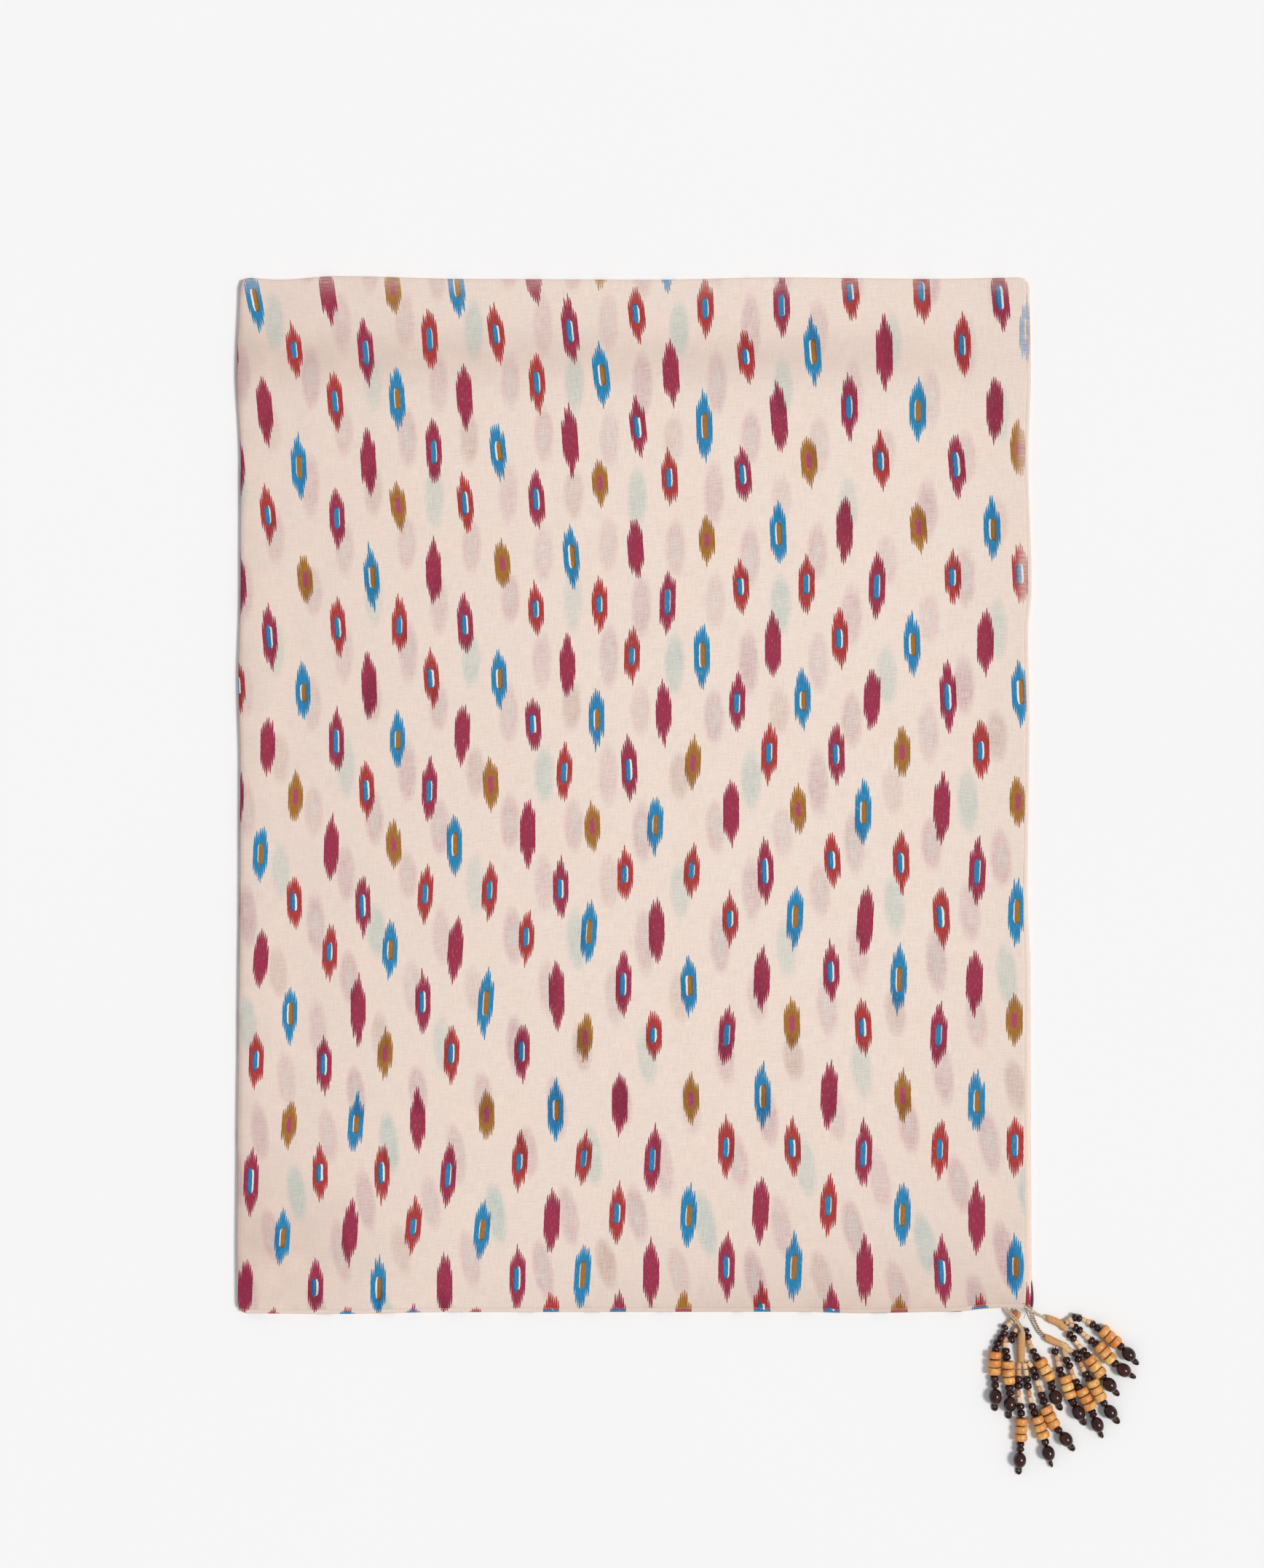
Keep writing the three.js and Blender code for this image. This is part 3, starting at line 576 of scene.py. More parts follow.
def lower_print(across, down):
    """Where in the print the layer below lies: further on by LOWER_PRINT, and a little askew."""
    u, v = across / PRINT_HALF[0] - 1.0, down * 2.0 / PRINT_HALF[1] - 1.0
    aside = v * v * (u * 0.18 - 0.42 - v * 0.18) - u * u * (v * 0.05 + 0.05) - (u * 0.07 + v * 0.38)
    drop = u * u * (v * 0.11 + 0.02) + u * (v * 0.04 - 0.41)
    return across - LOWER_PRINT[0] + aside, down - LOWER_PRINT[1] + drop


def cotton_material(name, motifs, see_through, rolled=False):
    """Printed voile. see_through is how much of the layer below shows in it. Where the mesh is
    turned in, each motif shows its core's dye."""
    material, s, finish = new_material(
        name, Roughness=0.9, Specular_IOR_Level=0.12, Sheen_Weight=0.03, Sheen_Roughness=0.5)
    across, down, _ = s.parts(s.node("ShaderNodeUVMap", uv_map="print").outputs[0])
    x, y = across * PITCH[0], down * PITCH[1]
    flat = s.vector(x, y)

    warp = s.noise(s.vector(x * 1.25, y * 0.11), 1.0, 3.0, 0.6)
    weft = s.noise(s.vector(x * 0.11, y * 1.25), 1.0, 3.0, 0.6)
    threads = (warp + weft + s.noise(flat, 1.3, 2.0, 0.6)) / 3
    blotches = s.noise(flat, 0.035, 3.0, 0.6)
    # Painted shade: the cloth darkens towards its shaded colour by the shade attribute.
    base = s.mix(s.attribute("shade"), linear(CLOTH["even"]), linear(CLOTH["shaded"]))
    base = s.mix(s.soft(blotches, 0.35, 0.7), base, s.mix(0.35, base, linear(CLOTH["blotch"])))
    base = s.mix(s.soft(threads, 0.62, 0.34), base, s.mix(0.3, base, linear(CLOTH["gap"])))

    if see_through:
        share, tint = printed(s, motifs, *lower_print(across, down), ("Blurred", "Blurred colour"))
        seen = (s.soft(threads, 0.6, 0.4) * 0.6 + 0.7) * (blotches * 1.1 + 0.45)
        below_share = share * seen * (down * 0.03 + 0.85)
        base = s.mix(below_share * see_through, base, tint)

    share, dye = printed(s, motifs, across, down, ("Dyed", "Colour"))
    if rolled:
        _, core = printed(s, motifs, across, down, ("Dyed", "Core colour"))
        dye = s.mix(s.attribute("turned"), dye, core)
    if see_through:
        dye = s.mix(below_share * 0.55, dye, s.times(dye, (0.5, 0.42, 0.55)))
    streaks = s.noise(s.vector(x * 1.5, y * 0.3), 1.0, 3.0, 0.65)
    dye = s.mix(s.soft(streaks, 0.56, 0.72) * 0.2, dye, base)
    dye = s.mix(s.soft(streaks, 0.5, 0.3) * 0.3, dye, s.times(dye, (0.4, 0.4, 0.4)))
    dye = s.mix(s.attribute("faded") * (s.soft(weft, 0.4, 0.6) * 0.4 + 0.55), dye, base)
    finish(Base_Color=s.mix(share * 0.97, base, dye), Normal=s.bump(threads, 0.35, 0.0004))
    return material


def thread_material(name, colour, dark, scale):
    material, s, finish = new_material(name, Roughness=0.8, Specular_IOR_Level=0.3)
    grain = s.noise(s.place(), scale, 3.0, 0.6)
    base = s.mix(s.attribute("tone"), linear(dark), linear(colour))
    base = s.mix(s.soft(grain, 0.62, 0.3) * 0.4, base, linear(dark))
    # Painted shade in the grooves between the turns of thread round a head.
    base = s.mix(s.attribute("groove") * 0.4, base, s.times(base, (0.5, 0.4, 0.32)))
    finish(Base_Color=base, Normal=s.bump(grain, 0.25, 0.0002))
    return material


def light_wood_material():
    material, s, finish = new_material("light_wood_finish", Specular_IOR_Level=0.4)
    place = s.place()
    stretched = s.node("ShaderNodeMapping", {"Vector": place, "Scale": (900, 260, 900)},
                       vector_type="POINT")
    grain = s.noise(stretched.outputs[0], 1.0, 4.0, 0.62)
    patches = s.noise(place, 180.0)
    base = s.mix(s.attribute("tone"), linear((222, 148, 78)), linear((244, 198, 118)))
    base = s.mix(s.soft(patches, 0.45, 0.62) * 0.6, base, linear((210, 118, 50)))
    base = s.mix(s.soft(grain, 0.52, 0.34) * 0.42, base, linear((158, 86, 36)))
    # Painted shade deepening towards where the discs meet, over their own dark joints.
    base = s.mix(s.attribute("groove") * 0.8, base, linear((110, 52, 22)))
    finish(Base_Color=base, Roughness=grain * 0.18 + 0.28, Normal=s.bump(grain, 0.25, 0.0003))
    return material


def dark_wood_material():
    material, s, finish = new_material(
        "dark_wood_finish", Specular_IOR_Level=0.38, Coat_Weight=0.12, Coat_Roughness=0.14)
    place = s.place()
    grain = s.noise(place, 420.0, 4.0, 0.6)
    base = s.mix(s.soft(grain, 0.4, 0.65), linear((34, 13, 11)), linear((62, 26, 20)))
    base = s.mix(s.soft(s.noise(place, 120.0), 0.5, 0.75) * 0.5, base, linear((96, 38, 28)))
    finish(Base_Color=base, Roughness=grain * 0.12 + 0.15, Normal=s.bump(grain, 0.15, 0.0002))
    return material


def floor_material():
    material, s, finish = new_material("floor_finish", Roughness=0.9, Specular_IOR_Level=0.1)
    mottle = s.noise(s.place(), 3.0)
    finish(Base_Color=s.mix(mottle, (0.902, 0.902, 0.902), (0.912, 0.912, 0.912)))
    return material


# ---- meshes
def make_object(name, points, faces, material, body="root"):
    """A smooth mesh object from points in mm, riding on its body."""
    mesh = bpy.data.meshes.new(name)
    mesh.from_pydata((np.asarray(points) * MM).tolist(), [], faces)
    mesh.materials.append(material)
    mesh.shade_smooth()
    made = bpy.data.objects.new(name, mesh)
    bpy.context.collection.objects.link(made)
    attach(made, body)
    return made


def add_attributes(made, **attributes):
    """Named numbers for a material, one for each point of the mesh."""
    for name, values in attributes.items():
        attribute = made.data.attributes.new(name, "FLOAT", "POINT")
        attribute.data.foreach_set("value", np.asarray(values, np.float32))


def add_print(made, places):
    """A UV map from one place in the print's lattice for each point of the mesh."""
    mesh = made.data
    corners = np.empty(len(mesh.loops), np.int32)
    mesh.loops.foreach_get("vertex_index", corners)
    layer = mesh.uv_layers.new(name="print")
    layer.data.foreach_set("uv", np.asarray(places, np.float32)[corners].ravel())


class Joined:
    """Points and faces of a joined mesh, gathered piece by piece, with a tone for each piece and painted
    shade in its grooves.
    """

    def __init__(self):
        self.points, self.faces, self.tones, self.groove_shades = [], [], [], []

    def add(self, points, faces, tone=0.5, groove=None):
        first = len(self.points)
        self.points.extend(points)
        self.faces.extend(tuple(first + k for k in face) for face in faces)
        self.tones.extend([tone] * len(points))
        self.groove_shades.extend([0.0] * len(points) if groove is None else groove)

    def build(self, name, material):
        made = make_object(name, self.points, self.faces, material)
        add_attributes(made, tone=self.tones, groove=self.groove_shades)
        return made


def lengths(route):
    """The length of a route up to each of its points."""
    return np.concatenate([[0], np.cumsum(np.linalg.norm(np.diff(route, axis=0), axis=1))])


def spline(places, count):
    """Points evenly spaced along a smooth curve through places."""
    places = np.asarray(places, float)
    padded = np.vstack([2 * places[0] - places[1], places, 2 * places[-1] - places[-2]])
    t = np.linspace(0, 1, 24, endpoint=False)[:, None]
    dense = []
    for a, b, c, d in zip(padded, padded[1:], padded[2:], padded[3:]):
        dense.append(0.5 * (2 * b + (c - a) * t + (2 * a - 5 * b + 4 * c - d) * t**2
                            + (3 * b - a - 3 * c + d) * t**3))
    dense = np.vstack([*dense, places[-1:]])
    run = lengths(dense)
    even = np.linspace(0, run[-1], count)
    return np.stack([np.interp(even, run, dense[:, k]) for k in range(dense.shape[1])], axis=1)


def frames(route):
    """Unit vectors ahead, aside and above at each point of a route that is never upright."""
    ahead = np.gradient(route, axis=0)
    ahead /= np.linalg.norm(ahead, axis=1, keepdims=True)
    aside = np.cross(ahead, (0.0, 0.0, 1.0))
    aside /= np.linalg.norm(aside, axis=1, keepdims=True)
    return ahead, aside, np.cross(aside, ahead)


def grid_faces(rows, columns, round_rows=False, round_columns=False):
    """Faces of a grid of points, which may close on itself either way."""
    index = np.arange(rows * columns).reshape(rows, columns)
    if round_rows:
        index = np.vstack([index, index[:1]])
    if round_columns:
        index = np.hstack([index, index[:, :1]])
    corners = [index[:-1, :-1], index[:-1, 1:], index[1:, 1:], index[1:, :-1]]
    return [tuple(face) for face in np.stack(corners, axis=-1).reshape(-1, 4).tolist()]


def tube_faces(count, sides):
    """Faces of a closed tube from its rings of points."""
    ends = [tuple(range(sides))[::-1], tuple(range((count - 1) * sides, count * sides))]
    return ends + grid_faces(count, sides, round_columns=True)


def tube(route, radii, sides=8, slant=0.0):
    """A closed round tube along a route, with a radius for each point or one for all. Its rings
    lean ahead on one side by slant."""
    route = np.asarray(route, float)
    radii = np.broadcast_to(radii, len(route))
    ahead, aside, above = frames(route)
    aside = aside + slant * ahead
    turns = np.linspace(0, 2 * math.pi, sides, endpoint=False)
    rings = [p + r * (math.cos(w) * a + math.sin(w) * b)
             for p, r, a, b in zip(route, radii, aside, above) for w in turns]
    return [tuple(p) for p in rings], tube_faces(len(route), sides)


def turned(profile, centre, axis, sides=20, spin=0.0):
    """A ring or solid turned round an axis: the profile is a closed loop of (radius, along), or
    starts and ends on the axis."""
    axis = np.asarray(axis, float) / np.linalg.norm(axis)
    aside = np.cross(axis, (0.0, 0.0, 1.0) if abs(axis[2]) < 0.9 else (0.0, 1.0, 0.0))
    aside /= np.linalg.norm(aside)
    above = np.cross(aside, axis)
    closed = profile[0][0] > 1e-6
    count = len(profile)
    points = []
    for n in range(sides):
        w = spin + 2 * math.pi * n / sides
        out = math.cos(w) * aside + math.sin(w) * above
        points.extend(tuple(np.asarray(centre) + r * out + h * axis) for r, h in profile)
    faces = grid_faces(sides, count, round_rows=True, round_columns=closed)
    if closed:
        return points, faces
    # Each end of the profile is one point, met by triangles.
    starts, ends = range(0, sides * count, count), range(count - 1, sides * count, count)
    met = {**dict.fromkeys(starts, 0), **dict.fromkeys(ends, count - 1)}
    return points, [tuple(dict.fromkeys(met.get(k, k) for k in face)) for face in faces]


# ---- the cloth's form
def eased(rows, at):
    """A value read from rows of (place, value), eased from one row to the next."""
    places, values = np.array(rows, float).T
    k = np.clip(np.searchsorted(places, at, side="right") - 1, 0, len(places) - 2)
    t = np.clip((at - places[k]) / (places[k + 1] - places[k]), 0, 1)
    return values[k] + (values[k + 1] - values[k]) * t * t * (3 - 2 * t)


def edges(x, y):
    """The four edges of the folded cloth beside a place: left, right, bottom, top."""
    return (FOLDED["left"] - eased(WANDER["left"], y), FOLDED["right"] + eased(WANDER["right"], y),
            FOLDED["bottom"] - eased(WANDER["bottom"], x), FOLDED["top"] + eased(WANDER["top"], x))


def rise(x, y):
    total = 0.0
    for at_x, at_y, heading, long, wide, height in RISES:
        turn = math.radians(heading)
        dx, dy = x - at_x, y - at_y
        along = (dx * math.cos(turn) + dy * math.sin(turn)) / long
        aside = (dy * math.cos(turn) - dx * math.sin(turn)) / wide
        total = total + height * np.exp(-along**2 - aside**2)
    return total


def cloth_place(across, along, step_x, step_y):
    """Points of the folded cloth from shares of its width and length and steps in mm from there,
    with the corners rounded in."""
    straight_x = FOLDED["left"] + (FOLDED["right"] - FOLDED["left"]) * across
    straight_y = FOLDED["bottom"] + (FOLDED["top"] - FOLDED["bottom"]) * along
    left, right, bottom, top = edges(straight_x, straight_y)
    x = left + (right - left) * across + step_x
    y = bottom + (top - bottom) * along + step_y

    def pull(edge_x, edge_y):
        near_x = np.maximum(0, 1 - np.abs(x - edge_x) / CORNER_REACH)
        return CORNER_PULL * near_x * np.maximum(0, 1 - np.abs(y - edge_y) / CORNER_REACH)

    low_left, high_left, low_right, high_right = (
        pull(left, bottom), pull(left, top), pull(right, bottom), pull(right, top))
    return (x + low_left + high_left - low_right - high_right,
            y + low_left + low_right - high_left - high_right)


def lattice_place(x, y):
    """Where a place on the cloth falls in the print: across in motifs and down in pairs of rows.
    The printed rows climb to the right and flatten, and the columns lean."""
    (start_x, start_y), (half_across, half_down) = PRINT_START, PRINT_HALF
    across = (x - start_x) / PITCH[0]
    down = half_down - (y - start_y) / ROW_PITCH
    for _ in range(25):
        u, v = across / half_across - 1, down / half_down - 1
        aside = start_x - 11.3 * v + 5.5 * v**3 + 9.8 * u * v**2 + 7.5 * u**2
        climb = (start_y - 1.3 * v - 6.0 * v**3 + 23.9 * u - 9.7 * u * v - 2.4 * u * v**2
                 - 5.4 * u**2 - 2.3 * u**2 * v - 12.2 * u**3)
        across = (x - aside) / PITCH[0]
        down = half_down - (y - climb) / ROW_PITCH
    return np.stack([across, down / 2], axis=-1)


def shading(x, y):
    """Painted shade on the sheer cloth, from 0 to 1: a band below the top fold, the light's fall-off
    towards the left, shade at the left fold's edge and the lower left corner, and some towards the
    bottom, the right and the top.
    """
    band = 0.42 * np.exp(-(((y - 327) / 17) ** 2)) / (1 + np.exp((x - 175) / 18))
    left = 0.42 * np.exp(-np.maximum(x + 283, 0) / 130) + 0.5 * np.exp(-np.maximum(x + 282, 0) / 2)
    low_left = 0.4 * np.exp(-(((x + 262) / 62) ** 2) - ((y + 235) / 48) ** 2)
    foot = 0.5 * np.exp(-np.maximum(y + 276, 0) / 16) + 0.42 * np.exp(-np.maximum(y + 276, 0) / 75)
    foot = foot / (1 + np.exp(-(x + 60) / 60))
    right = 0.16 * np.exp(-np.maximum(215 - x, 0) / 40)
    top = 0.11 * np.exp(-np.maximum(377 - y, 0) / 60)
    return np.clip(band + left + low_left + foot + right + top, 0, 1)


def fading(x, y):
    """How pale the dyes are, from 0 to 1: at the top fold and the upper part of the right hem."""
    depth = 3.2 + 4.5 / (1 + np.exp((150 - y) / 15))
    right = 1 / (1 + np.exp((FOLDED["right"] - depth - x) / 0.8))
    right = right * (0.3 / (1 + np.exp((-10 - y) / 20)) + 0.35 / (1 + np.exp((140 - y) / 20)))
    return np.clip(right + 0.4 / (1 + np.exp((FOLDED["top"] - 7 - y) / 2.5)), 0, 1)


def spread(first, last, fine, coarse, margin):
    """Places from first to last, fine apart within margin of both ends and coarse between."""
    ends = np.arange(0, margin, fine)
    middle = np.linspace(first + margin, last - margin, int((last - first - 2 * margin) / coarse))
    return np.concatenate([first + ends, middle, (last - ends)[::-1]])


def stations(turn, turn_first, length, near_step, far_step):
    """Stations over one direction of the panel: share, step, height and share of the rises.
    near_step and far_step are the steps at share 0 and 1 of the flat run."""
    flat = spread(0, 1, 1.3 / length, 3.4 / length, 18 / length)
    run = np.stack([flat, near_step + (far_step - near_step) * flat,
                    np.full_like(flat, FACE_HEIGHT), np.ones_like(flat)], axis=1)
    inwards = 1 if turn_first else -1
    down = spline(turn, TURN_STEPS + 1)[:-1]
    bend = np.stack([np.full(len(down), 0.0 if turn_first else 1.0), inwards * down[:, 0],
                     down[:, 1], np.clip(down[:, 2], 0, 1)], axis=1)
    return np.vstack([bend, run]) if turn_first else np.vstack([run, bend[::-1]])


def normals(grid):
    """Upward unit normals of a grid of points."""
    across, along = np.gradient(grid, axis=1), np.gradient(grid, axis=0)
    out = np.cross(across, along)
    return out / np.linalg.norm(out, axis=2, keepdims=True)


def wall_faces(rows, columns):
    """Faces of a closed wall: a face grid, then a back grid, and the rim between them."""
    index = np.arange(rows * columns).reshape(rows, columns)
    face = np.array(grid_faces(rows, columns))
    rim = np.concatenate([index[0, :-1], index[:-1, -1], index[-1, :0:-1], index[:0:-1, 0]])
    nexts = np.roll(rim, -1)
    under = rows * columns
    sides = np.stack([rim, rim + under, nexts + under, nexts], axis=-1)
    return [tuple(f) for f in np.vstack([face, face[:, ::-1] + under, sides]).tolist()]


def unrolled(grid):
    """Flat x and y for a panel: round a fold the cloth's own length counts."""
    x, y = grid[:, :, 0].copy(), grid[:, :, 1].copy()
    for i in range(TURN_STEPS - 1, -1, -1):
        x[:, i] = x[:, i + 1] - np.linalg.norm(grid[:, i + 1] - grid[:, i], axis=1)
    for j in range(len(grid) - TURN_STEPS, len(grid)):
        y[j] = y[j - 1] + np.linalg.norm(grid[j] - grid[j - 1], axis=1)
    return x, y


def right_set_back(along):
    """How far in the right hem ends, at a share of the cloth's length."""
    return eased(RIGHT_SET_BACK, FOLDED["bottom"] + (FOLDED["top"] - FOLDED["bottom"]) * along)


def top_panel(material):
    width, length = FOLDED["right"] - FOLDED["left"], FOLDED["top"] - FOLDED["bottom"]
    right_end = -(HEM_WIDTH["right"] - TUCKED)
    bottom_end = BOTTOM_SET_BACK + HEM_WIDTH["bottom"] - TUCKED
    columns = stations(LEFT_TURN, True, width, LEFT_TURN[-1][0], right_end)
    rows = stations(TOP_TURN, False, length, bottom_end, -TOP_TURN[-1][0])
    across, along = np.meshgrid(columns[:, 0], rows[:, 0])
    step_x, step_y = np.meshgrid(columns[:, 1], rows[:, 1])
    x, y = cloth_place(across, along, step_x - across * right_set_back(along), step_y)
    low = np.minimum(*np.meshgrid(columns[:, 2], rows[:, 2]))
    lift = np.minimum(*np.meshgrid(columns[:, 3], rows[:, 3]))
    ripple = 0.09 * np.sin(x / 7.1 + 2.1 * np.sin(y / 31)) * np.sin(y / 9.3 + 1.7 * np.sin(x / 27))
    grid = np.stack([x, y, low + (rise(x, y) + ripple) * lift], axis=-1)
    back = grid - CLOTH_WALL * normals(grid)
    points = np.concatenate([grid.reshape(-1, 3), back.reshape(-1, 3)])
    made = make_object("printed_panel", points, wall_faces(*across.shape), material)
    flat_x, flat_y = unrolled(grid)
    print_places = lattice_place(flat_x, flat_y).reshape(-1, 2)
    add_print(made, np.vstack([print_places, print_places]))
    # Painted shade, and paler dyes at the top fold and the right hem.
    add_attributes(made, shade=np.tile(shading(flat_x, flat_y).ravel(), 2),
                   faded=np.tile(fading(flat_x, flat_y).ravel(), 2))
    sheet_width, sheet_length = (flat_x.max() - flat_x.min()) * MM, (flat_y.max() - flat_y.min()) * MM
    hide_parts("cloth_top")
    return made, (sheet_width, sheet_length)


def hidden_layers(material):
    width, length = FOLDED["right"] - FOLDED["left"], FOLDED["top"] - FOLDED["bottom"]
    u = spread(0, 1, 1.2 / width, 3.0 / width, 8 / width)[:-1]
    v = spread(0, 1, 1.2 / length, 3.0 / length, 8 / length)[:-1]
    across = np.concatenate([u, np.ones_like(v), 1 - u, np.zeros_like(v)])
    along = np.concatenate([np.zeros_like(u), v, np.ones_like(u), 1 - v])
    rings = []
    for z, left, top, right, bottom in HIDDEN:
        step_x = left + (-right - left) * across
        step_y = bottom + (-top - bottom) * along
        x, y = cloth_place(across, along, step_x, step_y)
        rings.append(np.stack([x, y, np.full_like(x, z)], axis=-1))
    count = len(across)
    rings = np.array(rings)
    middle = [((FOLDED["left"] + FOLDED["right"]) / 2, (FOLDED["bottom"] + FOLDED["top"]) / 2, z)
              for z in (HIDDEN[0][0], HIDDEN[-1][0])]
    points = np.vstack([rings.reshape(-1, 3), middle])
    under, over, rim = len(points) - 2, len(points) - 1, (len(HIDDEN) - 1) * count
    faces = grid_faces(len(HIDDEN), count, round_columns=True)
    for n in range(count):
        m = (n + 1) % count
        faces += [(under, m, n), (over, rim + n, rim + m)]
    made = make_object("folded_layers", points, faces, material)
    places = lattice_place(points[:, 0], points[:, 1])
    places = np.stack([HIDDEN_PRINT[0] - places[:, 0], places[:, 1] - HIDDEN_PRINT[1]], axis=-1)
    add_print(made, places)
    bare = (points[:, 0] > 0) & (points[:, 1] > -190)
    # A little painted shade all over the hidden layers, and the dyes taken out where bare.
    add_attributes(made, shade=np.full(len(points), 0.16), faded=np.where(bare, 1.8, 0.0))
    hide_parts("cloth_folds")
    return made


def hem_roll(name, material, node, route, inward, side):
    """A rolled hem: a flattened roll along a route, gathered a little by each stitch."""
    x, y = route
    width = HEM_WIDTH[side]
    turns = np.linspace(0, 2 * math.pi, HEM_SIDES, endpoint=False)
    run = lengths(np.stack([x, y], axis=1))
    pucker = 1 + 0.07 * np.sin(2 * math.pi * run / STITCH_PITCH["bottom"]) + 0.05 * np.sin(run / 5.3)
    rings, taken, turned_in = [], [], []
    for w in turns:
        out = (1 - np.sign(math.cos(w)) * abs(math.cos(w)) ** 0.8) * width / 2
        taken.append(ROLLED_IN * (width - out))
        turned_in.append(float(np.clip((width * 0.5 - out) / 0.3, 0, 1)) if side == "bottom" else 0.0)
        up = math.sin(w) * HEM_RISE[side] * pucker
        at_x, at_y = x + inward[0] * out, y + inward[1] * out
        rings.append(np.stack([at_x, at_y, HEM_MIDDLE + up + rise(at_x, at_y)], axis=-1))
    points = np.array(rings).transpose(1, 0, 2).reshape(-1, 3)
    made = make_object(name, points, tube_faces(len(x), len(turns)), material)
    taken = np.tile(taken, len(x))
    places = lattice_place(points[:, 0] - inward[0] * taken, points[:, 1] - inward[1] * taken)
    add_print(made, places)
    at = points[:, 0], points[:, 1]
    # Painted shade on the hem: a little all over, and most of the panel's painted shade beside it.
    add_attributes(made, shade=0.1 + 0.7 * shading(*at), faded=fading(*at),
                   turned=np.tile(turned_in, len(x)))
    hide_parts(node)
    return made


def hem_routes():
    """The outer edge of the right hem, then of the bottom one, which runs on under its end."""
    along, across = np.linspace(0, 1, 1500), np.linspace(0, 1, 1200)
    step_y = (BOTTOM_SET_BACK + HEM_WIDTH["bottom"] + 0.2) * (1 - along) - 2.0 * along
    step_x = 2.0 * (1 - across) - right_set_back(0.0) * across
    return (cloth_place(1.0, along, -right_set_back(along), step_y),
            cloth_place(across, 0.0, step_x, BOTTOM_SET_BACK))


def stitches(material, routes):
    """Running stitches along both hems, as short dashes lying in the roll."""
    joined = Joined()
    for (x, y), inward, side in zip(routes, ((-1, 0), (0, 1)), ("right", "bottom")):
        run = lengths(np.stack([x, y], axis=1))
        for start in np.arange(1.0, run[-1] - 1.0, STITCH_PITCH[side]):
            at = start + np.array([0, 0.5, 1.0]) * RANDOM.uniform(0.62, 0.84)
            offset = HEM_WIDTH[side] - 0.45 + RANDOM.uniform(-0.12, 0.12)
            px = np.interp(at, run, x) + inward[0] * offset
            py = np.interp(at, run, y) + inward[1] * offset
            pz = STITCH_HEIGHT + rise(px, py) + np.array([-0.12, 0.06, -0.12])
            radii = STITCH_RADIUS[side] * np.array([0.7, 1, 0.7])
            joined.add(*tube(np.stack([px, py, pz], axis=-1), radii, 5), tone=RANDOM.uniform(0.5, 1.0))
    made = joined.build("hem_stitches", material)
    return made


# ---- the tassels
def from_corner(place):
    x, y, *z = place
    return np.array([CORNERS_MEET[0] + x, CORNERS_MEET[1] + y, *z])


def pointing(degrees):
    turn = math.radians(degrees)
    return np.array([math.sin(turn), -math.cos(turn), 0.0])


def round_profile(radius, half, bore, bulge=2.0, count=9):
    """The closed profile of a bead with a hole: a superellipse outside, a straight bore."""
    outer = []
    for t in np.linspace(-1, 1, count):
        along = half * math.sin(t * math.pi / 2)
        out = radius * (1 - abs(along / half) ** bulge) ** (1 / bulge)
        outer.append((max(out, bore + 0.12), along))
    return [(bore, -half * 0.97), *outer, (bore, half * 0.97)]


def pillow_profile(radius, half, bore):
    """The closed profile of a disc with a hole: flat ends and a gently swelling outside."""
    outer = []
    to_the_end = [0.0, 0.3, 0.55, 0.75, 0.87, 0.94, 0.975, 0.993, 1.0]
    for t in [-t for t in to_the_end[:0:-1]] + to_the_end:
        out = radius * (1 - 0.15 * t * t) * (1 - abs(t) ** 17) ** 0.33
        outer.append((max(out, bore + 0.12), half * t))
    return [(bore, -half * 0.97), *outer, (bore, half * 0.97)]


def disc_stack(joined, centre, axis, rng):
    each, count = DISCS["each"], DISCS["count"]
    for k in range(count):
        middle = centre + axis * (k - (count - 1) / 2) * each
        profile = pillow_profile(DISCS["radius"] * rng.uniform(0.98, 1.05), each / 2 * 0.995, 0.9)
        # Painted shade: 0 over a disc's middle, growing to 1 at the joints with its neighbours.
        groove = [float(np.clip(abs(h) / each * 5.2 - 1.6, 0, 1)) ** 2 for _, h in profile]
        disc = turned(profile, middle, axis + rng.normal(0, 0.03, 3), DISC_SIDES, rng.uniform(0, 6))
        joined.add(*disc, tone=rng.uniform(0, 1), groove=groove * DISC_SIDES)


def small_bead(joined, kind, centre, axis, room, rng):
    """A small bead, no longer than twice its room."""
    radius, half, bulge, sides = SMALL_BEADS[kind]
    profile = round_profile(radius * rng.uniform(0.95, 1.05), min(half, room), 0.5, bulge, 11)
    joined[kind].add(*turned(profile, centre, axis + rng.normal(0, 0.05, 3), sides),
                     tone=rng.uniform(0, 1))


def seed_ring(joined, tip, axis, rng):
    """The seed ring at a strand's tip, leaning on its edge and a little drawn out."""
    middle, wall = SEED_RING
    lean = rng.uniform(0.25, 1.3)
    ring_axis = math.cos(lean) * np.cross(axis, (0, 0, 1)) + math.sin(lean) * np.array([0, 0, 1.0])
    loop = [(middle + wall * math.cos(w), wall * math.sin(w))
            for w in np.linspace(0, 2 * math.pi, 13)[:-1]]
    centre = tip + axis * (middle + 0.2)
    centre[2] = middle * math.cos(lean) + wall + 0.1
    points, faces = turned(loop, centre, ring_axis, sides=22)
    points = [p + 0.3 * np.dot(p - centre, axis) * axis for p in np.array(points)]
    joined["d"].add([tuple(p) for p in points], faces, tone=rng.uniform(0, 1))
    return centre


